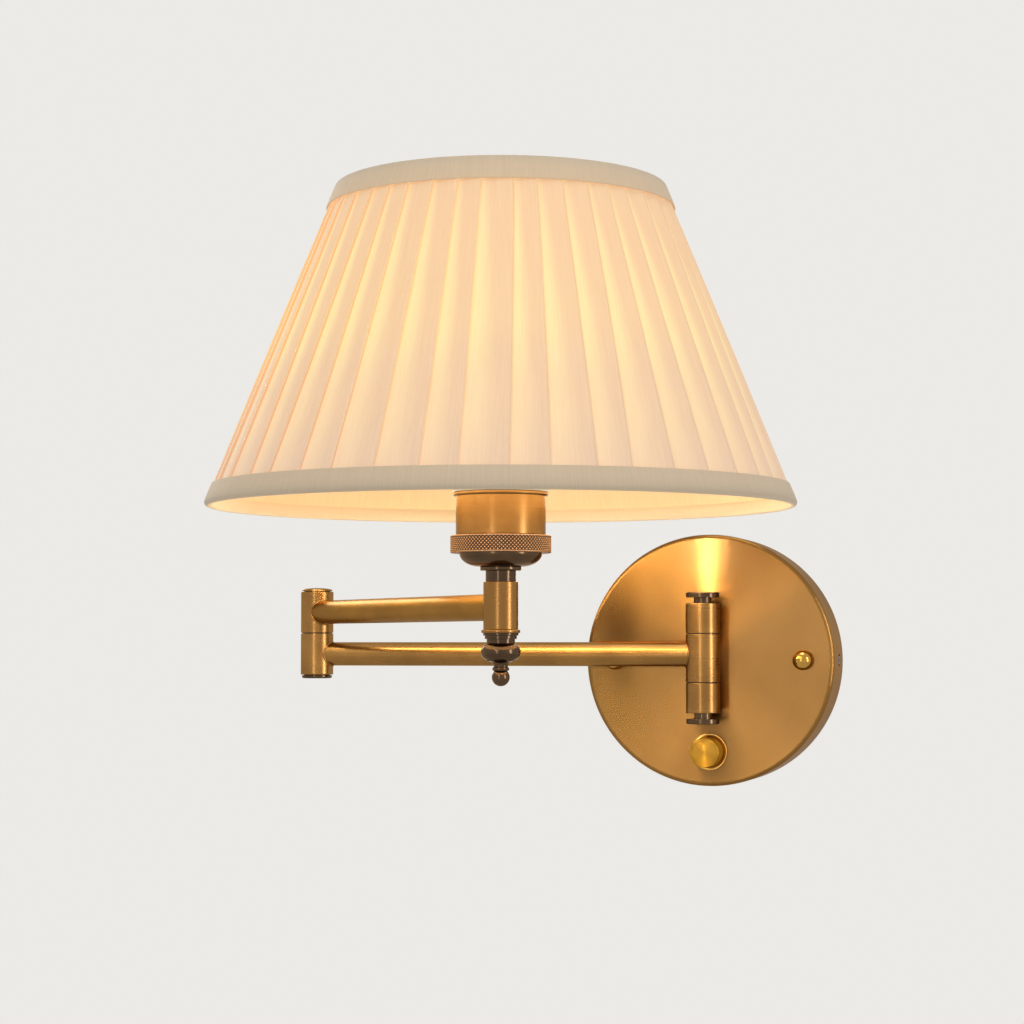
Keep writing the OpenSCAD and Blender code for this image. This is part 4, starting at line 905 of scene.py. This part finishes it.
def floor():
    """A plain pale floor. Far from the lamp it takes the background's own tone, so that no
    horizon shows, and from below it is clear."""
    m = with_nodes(bpy.data.materials.new("pale matt floor"))
    place = add(m, "ShaderNodeTexCoord")
    far = add(m, "ShaderNodeVectorMath", {0: (place, "Object")}, operation="LENGTH")
    share = add(m, "ShaderNodeMapRange", {"Value": (far, "Value")}, From_Min=0.6, From_Max=2.2, To_Min=0.35)
    grain = add(m, "ShaderNodeTexNoise", {"Vector": (place, "Object")}, Scale=30.0)
    tone = add(m, "ShaderNodeValToRGB", {"Fac": (grain, "Fac")}, [(0.0, "#e6e4e0"), (1.0, "#eae8e4")])
    paper = add(m, "ShaderNodeBsdfDiffuse", {"Color": (tone, "Color")})
    glow = add(m, "ShaderNodeEmission", Color=linear(BACKGROUND))
    near = add(m, "ShaderNodeMixShader", {0: (share, "Result"), 1: (paper, "BSDF"), 2: (glow, "Emission")})
    side = add(m, "ShaderNodeNewGeometry")
    clear = add(m, "ShaderNodeBsdfTransparent")
    both = add(m, "ShaderNodeMixShader", {0: (side, "Backfacing"), 1: (near, "Shader"), 2: (clear, "BSDF")})
    add(m, "ShaderNodeOutputMaterial", {"Surface": (both, "Shader")})
    size, low = 6000.0, -560.0
    corners = np.array([[-size, -size, low], [size, -size, low], [size, size, low], [-size, size, low]])
    piece = put_mesh("floor", (corners, [np.array([[0, 1, 2, 3]])]))
    piece.data.materials.append(m)


def sky():
    """A plain pale surround: seen and mirrored at the background's tone, but weaker as a light."""
    world = with_nodes(bpy.data.worlds.new("surround"))
    bpy.context.scene.world = world
    path = add(world, "ShaderNodeLightPath")
    straight = add(world, "ShaderNodeMath", {0: (path, "Is Camera Ray"), 1: (path, "Is Transmission Ray")},
                   operation="MAXIMUM")
    seen = add(world, "ShaderNodeMath", {0: (straight, "Value"), 1: (path, "Is Glossy Ray")},
               operation="MAXIMUM")
    light = add(world, "ShaderNodeBackground", Color=linear("#f4f4f2"), Strength=0.34)
    backdrop = add(world, "ShaderNodeBackground", Color=linear(BACKGROUND))
    mix = add(world, "ShaderNodeMixShader", {0: (seen, "Value"), 1: (light, "Background"),
                                            2: (backdrop, "Background")})
    add(world, "ShaderNodeOutputWorld", {"Surface": (mix, "Shader")})


floor()
sky()


def put_light(name, kind, power, at, aim, colour="#ffffff", metals_only=False, body=None, **settings):
    """Puts a light at a point, turned to face another; settings name its own properties. One for
    the metals only adds a clean highlight to them and leaves cloth and floor as they are. One with
    a body is carried by it."""
    data = bpy.data.lights.new(name, kind)
    data.energy = power
    data.color = linear(colour)[:3]
    for key, value in settings.items():
        setattr(data, key, value)
    lamp = bpy.data.objects.new(name, data)
    lamp.location = at
    away = np.array(at) - np.array(aim)
    flat = math.hypot(away[0], away[1])
    lamp.rotation_euler = (math.atan2(flat, away[2]), 0.0, math.atan2(away[0], -away[1]) if flat else 0.0)
    lamp.visible_camera = False
    lamp.visible_transmission = False
    lamp.visible_diffuse = not metals_only
    bpy.context.collection.objects.link(lamp)
    if body:
        lamp.parent = frame["bodies"][body]
        lamp.matrix_parent_inverse = lamp.parent.matrix_world.inverted()


# Soft studio lights that face the lamp's middle, with their width and height.
MIDDLE = (-0.06, -0.12, 0.06)
for name, power, at, (width, height), metals_only in (
        ("key light", 11.0, (-0.42, -1.75, 1.25), (0.25, 1.2), False),
        ("front light", 4.0, (-0.25, -2.1, 0.1), (0.12, 1.4), True),
        ("fill light", 9.0, (1.9, -0.75, 0.4), (0.2, 1.6), False),
        ("edge light", 6.0, (1.9, -0.55, 0.2), (0.08, 1.4), True),
        ("top light", 9.0, (0.0, -0.3, 1.9), (1.0, 1.0), False),
        ("rim light", 6.0, (-1.16, 0.97, 0.57), (0.4, 0.6), False)):
    put_light(name, "AREA", power, at, MIDDLE, metals_only=metals_only, shape="RECTANGLE", size=width,
              size_y=height)


def over_post(z):
    """The point z mm up the lamp post's axis, in metres."""
    return (POST[0] * MM, POST[1] * MM, z * MM)


# Lights that stand for the lit bulb and lining. First the bulb, all round, and then its light that
# leaves by the shade's open foot and falls on the arms and the plate.
WARM = "#ffecc8"
BULB_Z = 116
GLOW_R = 0.018
put_light("bulb light", "POINT", 0.16, over_post(BULB_Z), over_post(0), WARM, body="lamp_head",
          shadow_soft_size=GLOW_R)
put_light("bulb light, falling", "SPOT", 3.0, over_post(BULB_Z), over_post(0), WARM, body="lamp_head",
          shadow_soft_size=GLOW_R, spot_size=math.radians(136), spot_blend=0.12)
# The glowing mouth of the shade, as the metals below mirror it, its streak on the wall plate, and
# the same glow along the top of the lower arm.
put_light("shade mouth", "AREA", 0.3, over_post(72.5), over_post(0), WARM, True, "lamp_head",
          shape="DISK", size=0.235)
put_light("plate streak", "SPOT", 0.2, (-0.028, -0.165, 0.058), (0.0, -0.028, 0.045), "#fff6e6", True,
          "lamp_head", spot_size=math.radians(50), spot_blend=1.0, shadow_soft_size=0.005)
put_light("arm gleam", "AREA", 0.12, (-0.115, -0.097, 0.062), (-0.11, -0.042, 0.003), WARM, True,
          "lower_arm", shape="RECTANGLE", size=0.18, size_y=0.012)

bpy.context.scene.view_settings.view_transform = "Standard"
